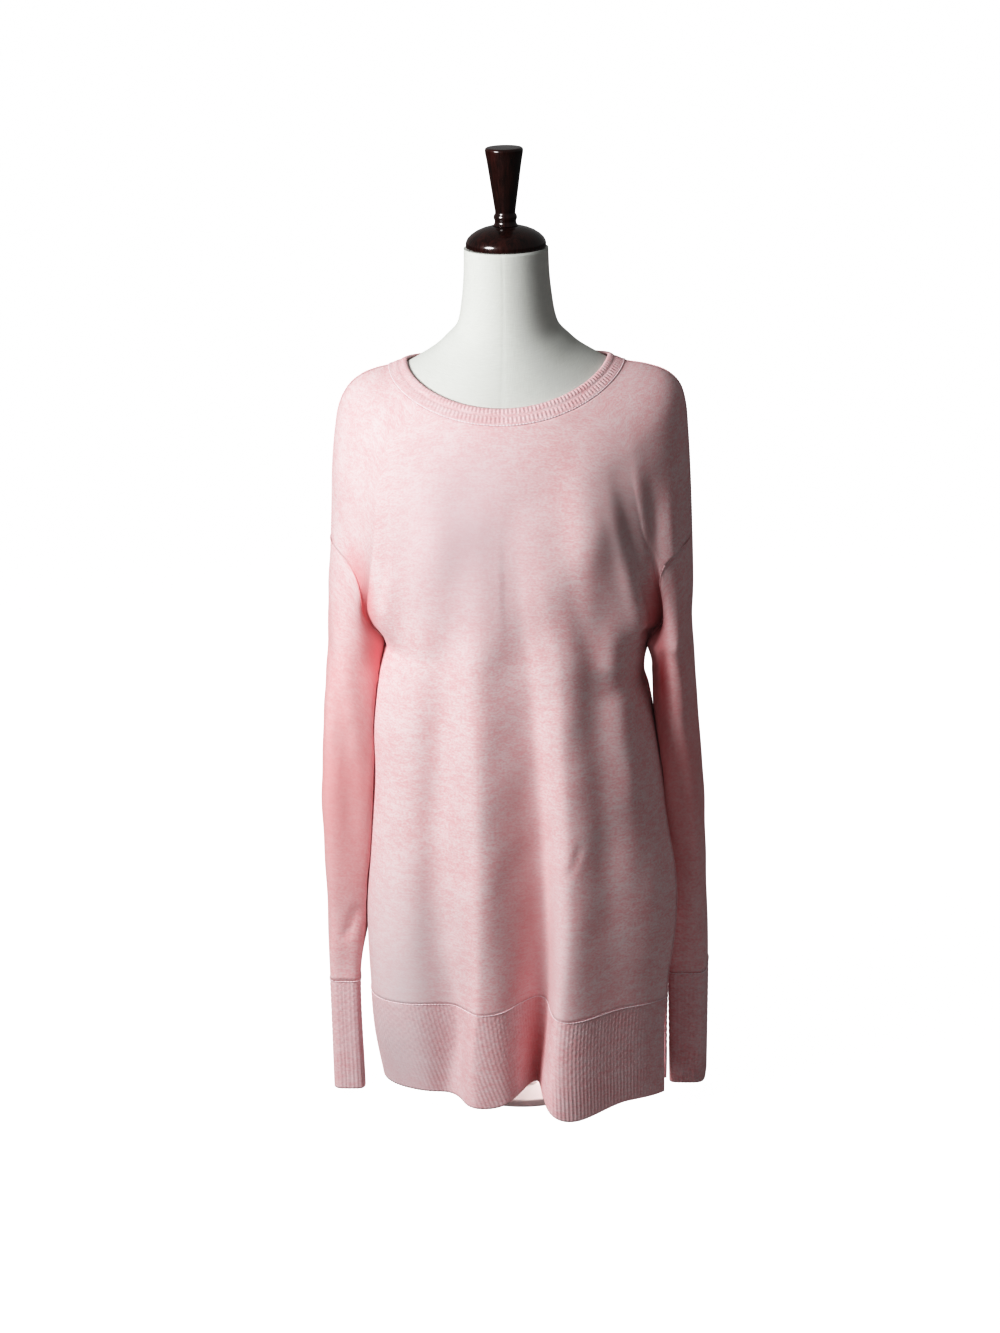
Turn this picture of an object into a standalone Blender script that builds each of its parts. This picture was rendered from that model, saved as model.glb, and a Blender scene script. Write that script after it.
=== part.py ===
"""Tunic sweater on a limbless dress form.

Metres, +Z up, the front towards -Y, the wearer's left towards +X. The origin is on the surface that the foot
stands on, below the middle of the form's neck.

The sweater is one set of rings. From the neckline down to the underarm each ring goes all round, and a fold
in front of and behind each arm deepens until it meets the underarm. Below that the body and the two sleeves
are separate tubes. The panels are stretches of those rings, cut at the seams.
"""

import math
from collections import namedtuple
from functools import lru_cache

import bpy
import numpy as np

# Cloth
KNIT = 0.0020  # wall of the plain knit
RIB = 0.0026  # wall of the ribbed bands
SEAM_GAP = 0.0003  # between two pieces at a seam
# What a piece draws back from a seam, in seam gaps: more where the two walls lean towards each other
SHOULDER_GAPS = 1.5
ARMHOLE_GAPS = 1.2
SIDE_GAPS = 3.2
VENT_GAPS = 1.5
NECKBAND_GAPS = 2.3
COLLECTION = "tunic_sweater_on_dress_form"

# Levels run down the cloth, one for each ring of the yoke and then of the body and the sleeves
NECK_SEAM = 1.0
UNDERARM = 11.0
LEVEL_RING = 12.0  # below it the rings of a sleeve run level
BAND_SEAM = 16.0  # between the knit and the ribbed hem band or cuff
BAND_EDGE = 17.0

# How finely the rings are divided. Front is -1 and back is 1.
CENTRE_COLUMNS = 9  # from the middle of a panel to the fold at the arm
EXTRA_COLUMNS = {-1: (0.056, 0.167, 0.278, 0.389), 1: ()}  # across the deepest drapes
ARM_COLUMNS = 6  # from that fold to the outside of the sleeve
SIDE_COLUMNS = {-1: 2, 1: 4}  # from that fold to the side seam, under the arm
UNDER_SLEEVE_COLUMNS = 3  # from that fold to the sleeve's own seam
YOKE_ROWS = 12
BODY_ROWS = 9
BAND_ROWS = 4
UPPER_ARM_ROWS = 5  # from the armhole seam, or the underarm, down to one level ring
LOWER_ARM_ROWS = 8
FORM_COLUMNS = 48
NARROW = 0.25  # share of a whole column or row that the last one before a seam takes

# What one step along the cloth is worth in metres, to turn a gap into a share of a step
ARM_COLUMN_LENGTH = 0.120  # from the fold at the arm to the outside of the sleeve
SIDE_COLUMN_LENGTH = {-1: 0.040, 1: 0.100}  # from that fold to the side seam, under the arm
SLEEVE_LEVEL_LENGTH = 0.068
YOKE_LEVEL_LENGTH = 0.035
BAND_LEVEL_LENGTH = 0.100
NECKBAND_LENGTH = 0.020

# The yoke's rings, from the neckband's free edge down. Half widths at the shoulder line, depth in front of
# and behind the neck, heights at the shoulder line, the front middle and the back middle, and how far the
# arm folds have gone in. Right and left are the wearer's.
YokeRing = namedtuple("YokeRing", "level right_x left_x front_y back_y right_z left_z front_z back_z "
                                  "right_fold left_fold")
YOKE = (
    YokeRing(0, 0.1065, 0.1045, 0.0925, 0.0745, 0.8135, 0.8165, 0.7775, 0.808, 0.00, 0.00),
    YokeRing(1, 0.1250, 0.1215, 0.1040, 0.0780, 0.8060, 0.8095, 0.7610, 0.790, 0.00, 0.00),
    YokeRing(2, 0.1400, 0.1440, 0.1110, 0.0880, 0.8020, 0.8055, 0.7420, 0.776, 0.00, 0.00),
    YokeRing(3, 0.1550, 0.1645, 0.1160, 0.0960, 0.7955, 0.7985, 0.7220, 0.757, 0.00, 0.00),
    YokeRing(4, 0.1690, 0.1785, 0.1195, 0.1020, 0.7835, 0.7850, 0.7020, 0.735, 0.00, 0.01),
    YokeRing(5, 0.1790, 0.1845, 0.1225, 0.1060, 0.7635, 0.7640, 0.6820, 0.712, 0.01, 0.04),
    YokeRing(6, 0.1840, 0.1865, 0.1265, 0.1090, 0.7350, 0.7350, 0.6600, 0.686, 0.03, 0.08),
    YokeRing(7, 0.1875, 0.1880, 0.1300, 0.1110, 0.6980, 0.6980, 0.6350, 0.656, 0.07, 0.14),
    YokeRing(8, 0.1890, 0.1890, 0.1320, 0.1120, 0.6540, 0.6540, 0.6080, 0.624, 0.14, 0.24),
    YokeRing(9, 0.1910, 0.1895, 0.1320, 0.1120, 0.6070, 0.6070, 0.5780, 0.588, 0.28, 0.38),
    YokeRing(10, 0.1940, 0.1900, 0.1300, 0.1110, 0.5600, 0.5600, 0.5460, 0.550, 0.56, 0.62),
    YokeRing(11, 0.1970, 0.1905, 0.1290, 0.1100, 0.5120, 0.5120, 0.5120, 0.512, 1.00, 1.00),
)
NECK_SQUARE = 2.0  # superellipse power of a ring, at the neckline
UNDERARM_SQUARE = 2.1  # and at the underarm
SHOULDER_RIDGE = 1.4  # how soon a ring drops on leaving the shoulder line
FOLD_ANGLE = math.radians(44.5)  # where on a ring the arm folds start
SEAM_LEVEL_OUTSIDE = 8.8  # the dropped armhole seam, on the outside of the arm
SEAM_SLOPE = 3  # how level that seam stays before it drops to the underarm

# Where the cloth of the front bulges over the arm folds: how far the fold goes aside, how much deeper it is,
# and how far the cloth beside it comes forward
ArmFold = namedtuple("ArmFold", "z aside deeper forward")
ARM_FOLDS = {
    -1: (
        ArmFold(0.700, 0.000, 0.000, 0.000), ArmFold(0.640, 0.004, 0.000, 0.001),
        ArmFold(0.605, 0.010, 0.001, 0.002), ArmFold(0.575, 0.017, 0.002, 0.004),
        ArmFold(0.553, 0.021, 0.003, 0.004), ArmFold(0.535, 0.014, 0.003, 0.003),
        ArmFold(0.522, 0.003, 0.001, 0.001), ArmFold(0.512, 0.000, 0.000, 0.000),
    ),
    1: (
        ArmFold(0.700, 0.000, 0.000, 0.000), ArmFold(0.650, 0.006, 0.003, 0.000),
        ArmFold(0.610, 0.014, 0.008, 0.000), ArmFold(0.575, 0.020, 0.013, 0.001),
        ArmFold(0.550, 0.022, 0.015, 0.002), ArmFold(0.535, 0.017, 0.012, 0.002),
        ArmFold(0.522, 0.006, 0.005, 0.001), ArmFold(0.512, 0.000, 0.000, 0.000),
    ),
}
FOLD_COLUMNS = 0.20  # width of the fold, in columns along the ring
BULGE_COLUMN = 0.80
BULGE_COLUMNS = 0.14
BULGE_ASIDE = 0.9  # how far the bulge goes aside with the fold, as a share

# The body tube's rings, from the underarm to the hem: half widths, depths, superellipse powers, and how far
# the wearer's left side seam swings forward
BodyRing = namedtuple("BodyRing", "z right_x left_x left_behind_x front_y back_y right_square left_square "
                                  "left_seam_y")
BODY = (
    BodyRing(0.512, 0.1345, 0.1430, 0.1430, 0.1290, 0.1100, 2.40, 2.40, 0.0000),
    BodyRing(0.490, 0.1430, 0.1383, 0.1378, 0.1293, 0.1103, 2.41, 2.38, 0.0010),
    BodyRing(0.465, 0.1510, 0.1390, 0.1383, 0.1297, 0.1106, 2.41, 2.35, 0.0025),
    BodyRing(0.440, 0.1555, 0.1445, 0.1432, 0.1300, 0.1110, 2.40, 2.32, 0.0055),
    BodyRing(0.400, 0.1576, 0.1515, 0.1480, 0.1303, 0.1119, 2.40, 2.28, 0.0120),
    BodyRing(0.360, 0.1587, 0.1565, 0.1495, 0.1300, 0.1130, 2.41, 2.24, 0.0180),
    BodyRing(0.326, 0.1601, 0.1610, 0.1500, 0.1291, 0.1143, 2.45, 2.21, 0.0230),
    BodyRing(0.280, 0.1614, 0.1705, 0.1500, 0.1270, 0.1160, 2.57, 2.19, 0.0295),
    BodyRing(0.240, 0.1621, 0.1755, 0.1500, 0.1240, 0.1171, 2.81, 2.19, 0.0345),
    BodyRing(0.205, 0.1619, 0.1752, 0.1502, 0.1210, 0.1180, 3.04, 2.19, 0.0375),
    BodyRing(0.170, 0.1609, 0.1705, 0.1503, 0.1180, 0.1187, 3.20, 2.20, 0.0395),
    BodyRing(0.131, 0.1596, 0.1660, 0.1502, 0.1150, 0.1194, 3.20, 2.20, 0.0400),
    BodyRing(0.085, 0.1576, 0.1642, 0.1500, 0.1125, 0.1201, 2.90, 2.20, 0.0400),
    BodyRing(0.029, 0.1500, 0.1640, 0.1500, 0.1100, 0.1210, 2.40, 2.20, 0.0400),
)
BodyLevel = namedtuple("BodyLevel", "level z")
BODY_LEVELS = (
    BodyLevel(11, 0.512), BodyLevel(12, 0.440), BodyLevel(13, 0.360), BodyLevel(14, 0.280),
    BodyLevel(15, 0.205), BodyLevel(16, 0.131), BodyLevel(17, 0.029),
)
BACK_SQUARE = 2.4
UNDERARM_DEPTH = 0.028  # half the length of the underarm, front to back
UNDERARM_OPENS = 2.0  # how soon that straight line rounds out, in parts of a level
HemLift = namedtuple("HemLift", "x up")
HEM_LIFT = (  # how much higher or lower than its ring the front hem runs
    HemLift(-0.160, 0.004), HemLift(-0.070, 0.004), HemLift(-0.050, 0.000), HemLift(-0.012, 0.000),
    HemLift(0.010, 0.009), HemLift(0.027, 0.009), HemLift(0.042, -0.004), HemLift(0.160, -0.003),
)
HEM_LIFT_FROM = 14.5  # the level where that starts
Vent = namedtuple("Vent", "right left")
VENTS = {-1: Vent(0.0015, 0.0015), 1: Vent(0.012, 0.016)}  # what each band draws back at its lower edge
SIDE_EDGE = 0.03  # the drapes fade out this near the sides
SIDE_SHARE = 0.05  # to this
SLOPE_STEP = 0.001  # over which a ring's slope is taken

# The sleeve tubes' rings, by level: outer and inner side, half depth, where the middle lies front to back,
# and how far the inner side may lap over the body
SleeveRing = namedtuple("SleeveRing", "level z outer_x inner_x half_y middle_y lap")
SLEEVES = {
    -1: (
        SleeveRing(11, 0.512, 0.1970, None, 0.066, 0.000, 0.000),
        SleeveRing(11.25, 0.494, 0.1975, 0.1430, 0.066, -0.002, 0.010),
        SleeveRing(11.5, 0.476, 0.1985, 0.1482, 0.066, -0.005, 0.016),
        SleeveRing(12, 0.440, 0.2005, 0.1567, 0.065, -0.009, 0.020),
        SleeveRing(13, 0.360, 0.2045, 0.1597, 0.062, -0.012, 0.022),
        SleeveRing(14, 0.280, 0.2055, 0.1624, 0.055, -0.008, 0.018),
        SleeveRing(15, 0.205, 0.2055, 0.1650, 0.047, 0.002, 0.006),
        SleeveRing(16, 0.137, 0.2055, 0.1715, 0.040, 0.010, 0.000),
        SleeveRing(17, 0.013, 0.2050, 0.1730, 0.037, 0.016, 0.000),
    ),
    1: (
        SleeveRing(11, 0.512, 0.1905, None, 0.066, 0.000, 0.0),
        SleeveRing(11.25, 0.494, 0.1907, 0.1452, 0.063, 0.006, 0.0),
        SleeveRing(11.5, 0.476, 0.1910, 0.1458, 0.061, 0.012, 0.0),
        SleeveRing(12, 0.440, 0.1915, 0.1462, 0.057, 0.020, 0.0),
        SleeveRing(13, 0.360, 0.1955, 0.1490, 0.053, 0.032, 0.0),
        SleeveRing(14, 0.280, 0.1980, 0.1515, 0.049, 0.039, 0.0),
        SleeveRing(15, 0.205, 0.1985, 0.1545, 0.046, 0.043, 0.0),
        SleeveRing(16, 0.137, 0.1985, 0.1550, 0.040, 0.045, 0.0),
        SleeveRing(17, 0.012, 0.1950, 0.1550, 0.037, 0.047, 0.0),
    ),
}
SLEEVE_SQUARE = 3.2  # how square a sleeve hangs below the underarm
ARM_GAP = 0.0060  # between the inner side of a sleeve and the body

# The drapes of the skirt, by height: middle, width to each side and how far out of the ring
Drape = namedtuple("Drape", "z middle_x right_width left_width out")
FRONT_DRAPES = {
    "right_hollow": (
        Drape(0.600, -0.060, 0.020, 0.018, 0.000), Drape(0.520, -0.066, 0.022, 0.018, -0.006),
        Drape(0.440, -0.070, 0.022, 0.018, -0.011), Drape(0.380, -0.073, 0.022, 0.018, -0.013),
        Drape(0.300, -0.077, 0.022, 0.022, -0.013), Drape(0.200, -0.074, 0.026, 0.020, -0.015),
        Drape(0.131, -0.064, 0.030, 0.013, -0.016), Drape(0.029, -0.062, 0.022, 0.012, -0.020),
    ),
    "right_ridge": (
        Drape(0.620, -0.032, 0.018, 0.020, 0.000), Drape(0.440, -0.030, 0.016, 0.022, 0.007),
        Drape(0.250, -0.031, 0.014, 0.024, 0.010), Drape(0.131, -0.036, 0.010, 0.034, 0.010),
        Drape(0.029, -0.048, 0.020, 0.050, 0.019),
    ),
    "middle_hollow": (
        Drape(0.640, 0.016, 0.018, 0.016, 0.000), Drape(0.550, 0.020, 0.024, 0.015, -0.004),
        Drape(0.450, 0.026, 0.027, 0.015, -0.010), Drape(0.300, 0.033, 0.031, 0.013, -0.021),
        Drape(0.200, 0.034, 0.030, 0.010, -0.032), Drape(0.131, 0.032, 0.027, 0.010, -0.043),
        Drape(0.029, 0.021, 0.016, 0.010, -0.058),
    ),
    "left_ridge": (
        Drape(0.640, 0.060, 0.016, 0.018, 0.000), Drape(0.450, 0.062, 0.014, 0.022, 0.007),
        Drape(0.300, 0.066, 0.016, 0.026, 0.012), Drape(0.200, 0.063, 0.018, 0.030, 0.015),
        Drape(0.131, 0.058, 0.024, 0.036, 0.018), Drape(0.029, 0.050, 0.030, 0.050, 0.034),
    ),
}
BACK_DRAPES = {
    "right_ridge": (
        Drape(0.440, -0.075, 0.030, 0.030, 0.000), Drape(0.250, -0.082, 0.028, 0.028, 0.010),
        Drape(0.029, -0.090, 0.026, 0.024, 0.019),
    ),
    "right_hollow": (
        Drape(0.460, -0.030, 0.022, 0.022, 0.000), Drape(0.250, -0.033, 0.020, 0.020, -0.014),
        Drape(0.029, -0.036, 0.018, 0.018, -0.028),
    ),
    "middle_ridge": (
        Drape(0.440, 0.015, 0.030, 0.030, 0.000), Drape(0.250, 0.018, 0.028, 0.026, 0.011),
        Drape(0.029, 0.020, 0.024, 0.020, 0.021),
    ),
    "left_hollow": (
        Drape(0.400, 0.070, 0.024, 0.024, 0.000), Drape(0.200, 0.075, 0.022, 0.020, -0.011),
        Drape(0.029, 0.080, 0.020, 0.016, -0.021),
    ),
}

NECKBAND_COLUMNS = 52
NECKBAND_ROWS = 2

# The form's rings, from under the wood cap to the flat underside
FormRing = namedtuple("FormRing", "side_x front_y back_y right_z left_z front_z back_z square")
FORM = (
    FormRing(0.0440, 0.0440, 0.0440, 0.9290, 0.9290, 0.9290, 0.9290, 2.0),
    FormRing(0.0448, 0.0445, 0.0447, 0.9010, 0.9010, 0.9005, 0.9010, 2.0),
    FormRing(0.0475, 0.0468, 0.0472, 0.8740, 0.8740, 0.8720, 0.8740, 2.0),
    FormRing(0.0505, 0.0505, 0.0500, 0.8570, 0.8570, 0.8510, 0.8560, 2.0),
    FormRing(0.0545, 0.0565, 0.0542, 0.8475, 0.8475, 0.8345, 0.8435, 2.0),
    FormRing(0.0630, 0.0645, 0.0595, 0.8388, 0.8390, 0.8190, 0.8315, 2.0),
    FormRing(0.0745, 0.0730, 0.0645, 0.8282, 0.8290, 0.8040, 0.8200, 2.0),
    FormRing(0.0905, 0.0805, 0.0680, 0.8179, 0.8195, 0.7885, 0.8080, 2.0),
    FormRing(0.1060, 0.0885, 0.0705, 0.8096, 0.8115, 0.7735, 0.7960, 2.0),
    FormRing(0.1225, 0.0995, 0.0745, 0.8036, 0.8056, 0.7585, 0.7860, 2.0),
    FormRing(0.1370, 0.1065, 0.0845, 0.7996, 0.8012, 0.7395, 0.7725, 2.05),
    FormRing(0.1500, 0.1112, 0.0925, 0.7934, 0.7942, 0.7195, 0.7535, 2.1),
    FormRing(0.1570, 0.1140, 0.0975, 0.7796, 0.7800, 0.6990, 0.7310, 2.15),
    FormRing(0.1590, 0.1168, 0.1005, 0.7570, 0.7570, 0.6785, 0.7070, 2.2),
    FormRing(0.1580, 0.1205, 0.1030, 0.7270, 0.7270, 0.6560, 0.6820, 2.2),
    FormRing(0.1540, 0.1245, 0.1040, 0.6850, 0.6850, 0.6300, 0.6510, 2.2),
    FormRing(0.1490, 0.1230, 0.1020, 0.6350, 0.6350, 0.6000, 0.6180, 2.2),
    FormRing(0.1400, 0.1100, 0.0970, 0.5780, 0.5780, 0.5620, 0.5720, 2.2),
    FormRing(0.1260, 0.0960, 0.0900, 0.5180, 0.5180, 0.5120, 0.5160, 2.2),
    FormRing(0.1120, 0.0860, 0.0820, 0.4420, 0.4420, 0.4420, 0.4420, 2.2),
    FormRing(0.1160, 0.0850, 0.0850, 0.3760, 0.3760, 0.3760, 0.3760, 2.2),
    FormRing(0.1300, 0.0880, 0.0940, 0.3080, 0.3080, 0.3080, 0.3080, 2.2),
    FormRing(0.1370, 0.0890, 0.0970, 0.2520, 0.2520, 0.2520, 0.2520, 2.2),
    FormRing(0.1340, 0.0840, 0.0930, 0.2100, 0.2100, 0.2100, 0.2100, 2.2),
    FormRing(0.1240, 0.0760, 0.0850, 0.1850, 0.1850, 0.1850, 0.1850, 2.2),
    FormRing(0.1160, 0.0700, 0.0790, 0.1770, 0.1770, 0.1770, 0.1770, 2.2),
)

# Turned wood on the neck: outside radius and height, top to bottom
CAP_SEAT = 0.9293
CAP = [
    (0.0125, 0.9520), (0.0180, 0.9510), (0.0245, 0.9491), (0.0308, 0.9463), (0.0362, 0.9427),
    (0.0398, 0.9390), (0.0413, 0.9360), (0.0418, 0.9338), (0.0418, 0.9306), (0.0408, CAP_SEAT),
]
FINIAL_SEAT = 0.9523
FINIAL = [
    (0.0184, 1.0340), (0.0195, 1.0328), (0.0198, 1.0312), (0.0195, 1.0280), (0.0184, 1.0220),
    (0.0170, 1.0130), (0.0157, 1.0040), (0.0144, 0.9945), (0.0130, 0.9850), (0.0116, 0.9750),
    (0.0106, 0.9680), (0.0104, 0.9652), (0.0113, 0.9640), (0.0121, 0.9620), (0.0121, 0.9600),
    (0.0113, 0.9584), (0.0110, 0.9568), (0.0115, 0.9545), (0.0131, FINIAL_SEAT),
]
TURNING_STEPS = 28

# The post and the foot
POST_Y = 0.018
POST_RADIUS = 0.0125
FOOT_Y = 0.026
FOOT_RADIUS = 0.066
FOOT_HEIGHT = 0.008
FOOT_EDGE = 0.0015


def clear_scene():
    for obj in list(bpy.data.objects):
        bpy.data.objects.remove(obj)


def material(name, colour, roughness, metallic=0.0):
    made = bpy.data.materials.new(name)
    made.use_nodes = True
    shader = made.node_tree.nodes["Principled BSDF"]
    shader.inputs["Base Color"].default_value = (*colour, 1.0)
    shader.inputs["Roughness"].default_value = roughness
    shader.inputs["Metallic"].default_value = metallic
    return made


def smooth(value):
    value = min(max(value, 0.0), 1.0)
    return value * value * (3.0 - 2.0 * value)


@lru_cache(maxsize=None)
def slopes(rows):
    table = np.array(sorted(rows), float)
    return table[:, 0], table[:, 1:], np.gradient(table[:, 1:], table[:, 0], axis=0)


def row_at(rows, place):
    """The row at any place, on a smooth curve through the table's rows. Places are in its first column."""
    places, values, slope = slopes(rows)
    place = min(max(place, places[0]), places[-1])
    low = min(int(np.searchsorted(places, place, side="right")) - 1, len(places) - 2)
    step = places[low + 1] - places[low]
    t = (place - places[low]) / step
    value = (
        values[low] * (2.0 * t ** 3 - 3.0 * t ** 2 + 1.0) + values[low + 1] * (3.0 * t ** 2 - 2.0 * t ** 3)
        + step * (slope[low] * (t ** 3 - 2.0 * t ** 2 + t) + slope[low + 1] * (t ** 3 - t ** 2))
    )
    return type(rows[0])(place, *value)


def rounded(value, square):
    """Sine or cosine bent to a superellipse."""
    return math.copysign(abs(value) ** (2.0 / square), value)


def side_of_ring(half_x, depth, square, y):
    """Half width of a superellipse at a distance in front of or behind its middle."""
    return half_x * (1.0 - min(abs(y) / depth, 1.0) ** square) ** (1.0 / square)


def saddle_point(angle, side_x, front_y, back_y, side_z, front_z, back_z, square):
    """A ring that is higher at its sides than in front. Angle 0 is the front middle, 180 degrees the back."""
    across, along = math.sin(angle), math.cos(angle)
    depth, middle_z = (front_y, front_z) if along >= 0 else (back_y, back_z)
    return np.array([
        side_x * rounded(across, square),
        -depth * rounded(along, square),
        side_z + (middle_z - side_z) * abs(along) ** SHOULDER_RIDGE,
    ])


def tilted(ring, angle):
    """Height of a ring's sides, which differs from the wearer's right to the left."""
    return ring.right_z + (ring.left_z - ring.right_z) * (0.5 + 0.5 * math.sin(angle))


def neck_ring_point(level, angle):
    """A point on a ring of the neckband or the yoke, before the arm folds."""
    ring = row_at(YOKE, level)
    square = NECK_SQUARE + (UNDERARM_SQUARE - NECK_SQUARE) * level / UNDERARM
    side_x = ring.left_x if math.sin(angle) > 0 else ring.right_x
    return saddle_point(
        angle, side_x, ring.front_y, ring.back_y, tilted(ring, angle), ring.front_z, ring.back_z, square)


def drape(x, z, drapes):
    total = 0.0
    for rows in drapes.values():
        if z < rows[0].z:
            row = row_at(rows, z)
            width = row.right_width if x < row.middle_x else row.left_width
            total += row.out * math.exp(-(((x - row.middle_x) / width) ** 2))
    return total


def ring_of(z, left, facing):
    """Half width, depth and superellipse power of one quarter of the body."""
    ring = row_at(BODY, z)
    if facing < 0:
        return (ring.left_x, ring.front_y, ring.left_square) if left else (
            ring.right_x, ring.front_y, ring.right_square)
    return (ring.left_behind_x if left else ring.right_x), ring.back_y, BACK_SQUARE


def swung_forward(z, y):
    """Half width of the back on the wearer's left where it goes on past the middle, forward to the seam. It
    leaves the back level and meets the front at the front's own slope."""
    seam_y = row_at(BODY, z).left_seam_y
    start, end = ring_of(z, True, 1)[0], side_of_ring(*ring_of(z, True, -1), seam_y)
    slope = (side_of_ring(*ring_of(z, True, -1), seam_y + SLOPE_STEP) - end) / SLOPE_STEP * seam_y
    t = min(y / max(seam_y, SLOPE_STEP), 1.0)
    return start + (end - start) * smooth(t) + slope * (t ** 3 - t ** 2)


def body_point(column, level, facing):
    """Facing is -1 in front, 1 behind. Columns run from -2 to 2: 0 is the panel's middle, 1 the arm fold,
    2 the side seam."""
    z = row_at(BODY_LEVELS, level).z
    left, front = column > 0, facing < 0
    half_x, depth, square = ring_of(z, left, facing)
    seam_y = row_at(BODY, z).left_seam_y if left else 0.0
    fold_y = UNDERARM_DEPTH + (seam_y if front else 0.0)
    fold = math.acos((fold_y / depth) ** (square / 2.0))
    part = abs(column)
    if part <= 1:
        x = half_x * rounded(math.sin(fold * part), square)
        y = depth * rounded(math.cos(fold * part), square)
    else:
        y = fold_y + ((seam_y if front else -seam_y) - fold_y) * (part - 1)
        x = side_of_ring(half_x, depth, square, y) if front or y >= 0 else swung_forward(z, -y)
        fold_x = half_x * rounded(math.sin(fold), square)
        x = fold_x + (x - fold_x) * smooth((level - UNDERARM) * UNDERARM_OPENS)
    inside = smooth((half_x - x) / SIDE_EDGE + SIDE_SHARE)
    x = math.copysign(x, column)
    y += drape(x, z, FRONT_DRAPES if front else BACK_DRAPES) * inside
    if front:
        z += row_at(HEM_LIFT, x).up * smooth((level - HEM_LIFT_FROM) / (BAND_EDGE - HEM_LIFT_FROM))
    return np.array([x, facing * y, z])


def beside_body(side, y, z):
    """How far out the side of the body is at one place."""
    seam_y = row_at(BODY, z).left_seam_y
    if side > 0 and -seam_y < y < 0:
        return swung_forward(z, -y)
    return side_of_ring(*ring_of(z, side > 0, -1 if y < 0 else 1), y)


def start_from_fold(side):
    """Both tubes start from one fold, so the sleeve's first ring takes its inner side from the body."""
    rows = SLEEVES[side]
    fold_x = abs(body_point(side * 1.0, UNDERARM, -1)[0]) + ARM_GAP
    half = (rows[0].outer_x - fold_x) / (1.0 + math.sin(SLEEVE_FOLD))
    return (rows[0]._replace(inner_x=rows[0].outer_x - 2.0 * half),) + rows[1:]


SLEEVE_FOLD = math.acos(UNDERARM_DEPTH / SLEEVES[1][0].half_y)  # from straight ahead to the arm fold
SLEEVES = {side: start_from_fold(side) for side in SLEEVES}


def sleeve_point(turn, level, side):
    """Turn 0 is the front arm fold, 1 the outside, 2 the back arm fold, and -1 or 3 the underarm seam."""
    ring = row_at(SLEEVES[side], level)
    middle, half = (ring.outer_x + ring.inner_x) / 2.0, (ring.outer_x - ring.inner_x) / 2.0
    square = 2.0 + (SLEEVE_SQUARE - 2.0) * smooth(level - UNDERARM)
    back = turn > 1
    part = 2 - turn if back else turn
    quarter = math.pi / 2 + (SLEEVE_FOLD if part >= 0 else -SLEEVE_FOLD)
    angle = -SLEEVE_FOLD + quarter * part
    x = middle + half * rounded(math.sin(angle), square)
    below = level - UNDERARM
    if part < 0:
        fold_x = middle - half * math.sin(SLEEVE_FOLD)
        x = fold_x + (x - fold_x) * smooth(below * UNDERARM_OPENS)
    y = ring.middle_y + ring.half_y * rounded(math.cos(angle), square) * (1 if back else -1)
    if below > 0:  # the inner side may lap over the body, as far as the body lets it
        clear = beside_body(side, y, ring.z) + ARM_GAP
        x = max(x - ring.lap * smooth((middle - x) / half), clear)
    return np.array([side * x, y, ring.z])


def arm_fold_shift(column, z):
    shift = np.zeros(3)
    for side, rows in ARM_FOLDS.items():
        row = row_at(rows, z)
        near = math.exp(-(((column * side - 1.0) / FOLD_COLUMNS) ** 2))
        beside = math.exp(-(((column * side - BULGE_COLUMN) / BULGE_COLUMNS) ** 2))
        shift[0] += side * row.aside * max(near, BULGE_ASIDE * beside)
        shift[1] += row.deeper * near - row.forward * beside
    return shift


def yoke_point(column, level, facing):
    """Above the underarm. Columns run from -2 to 2: 0 is the middle, 1 the arm fold, 2 the shoulder line."""
    ring = row_at(YOKE, level)
    part = abs(column)
    side = 1 if column > 0 else -1
    if part <= 1:
        angle = FOLD_ANGLE * part
        split = body_point(column, UNDERARM, facing)
    else:
        angle = FOLD_ANGLE + (math.pi / 2 - FOLD_ANGLE) * (part - 1)
        split = sleeve_point(part - 1 if facing < 0 else 3 - part, UNDERARM, side)
    whole = neck_ring_point(level, side * (angle if facing < 0 else math.pi - angle))
    split[2] = whole[2]
    point = whole + (split - whole) * (ring.left_fold if column > 0 else ring.right_fold)
    return point + arm_fold_shift(column, point[2]) if facing < 0 else point


def armhole_level(part):
    """Level of the dropped armhole seam. Part is 1 at the arm fold and 2 on the outside of the arm."""
    return UNDERARM - (UNDERARM - SEAM_LEVEL_OUTSIDE) * (1.0 - (2.0 - part) ** SEAM_SLOPE)


def armhole_gap(part):
    """What each side of that seam leaves free, in levels: more where the seam is steep."""
    drop = (UNDERARM - SEAM_LEVEL_OUTSIDE) * SEAM_SLOPE * (2.0 - part) ** (SEAM_SLOPE - 1)
    steep = drop * YOKE_LEVEL_LENGTH / ARM_COLUMN_LENGTH
    return ARMHOLE_GAPS * SEAM_GAP / YOKE_LEVEL_LENGTH * math.hypot(1.0, steep)


def spread(first, last, count):
    return [first + (last - first) * i / count for i in range(count + 1)]


def spread_to_seam(first, last, count):
    """As spread, with a narrow last step, so that the wall meets the seam square to the cloth."""
    step = (last - first) / (count - 1 + NARROW)
    return [first + step * i for i in range(count)] + [last]


def new_object(name, points, faces, look):
    mesh = bpy.data.meshes.new(name)
    mesh.from_pydata([tuple(p) for p in points], [], faces)
    mesh.validate()
    mesh.shade_smooth()
    obj = bpy.data.objects.new(name, mesh)
    obj.data.materials.append(look)
    bpy.data.collections[COLLECTION].objects.link(obj)
    return obj


def add_wall(obj, thickness):
    wall = obj.modifiers.new("Wall", "SOLIDIFY")
    wall.thickness = thickness
    wall.offset = -1.0
    wall.use_rim = True


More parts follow.
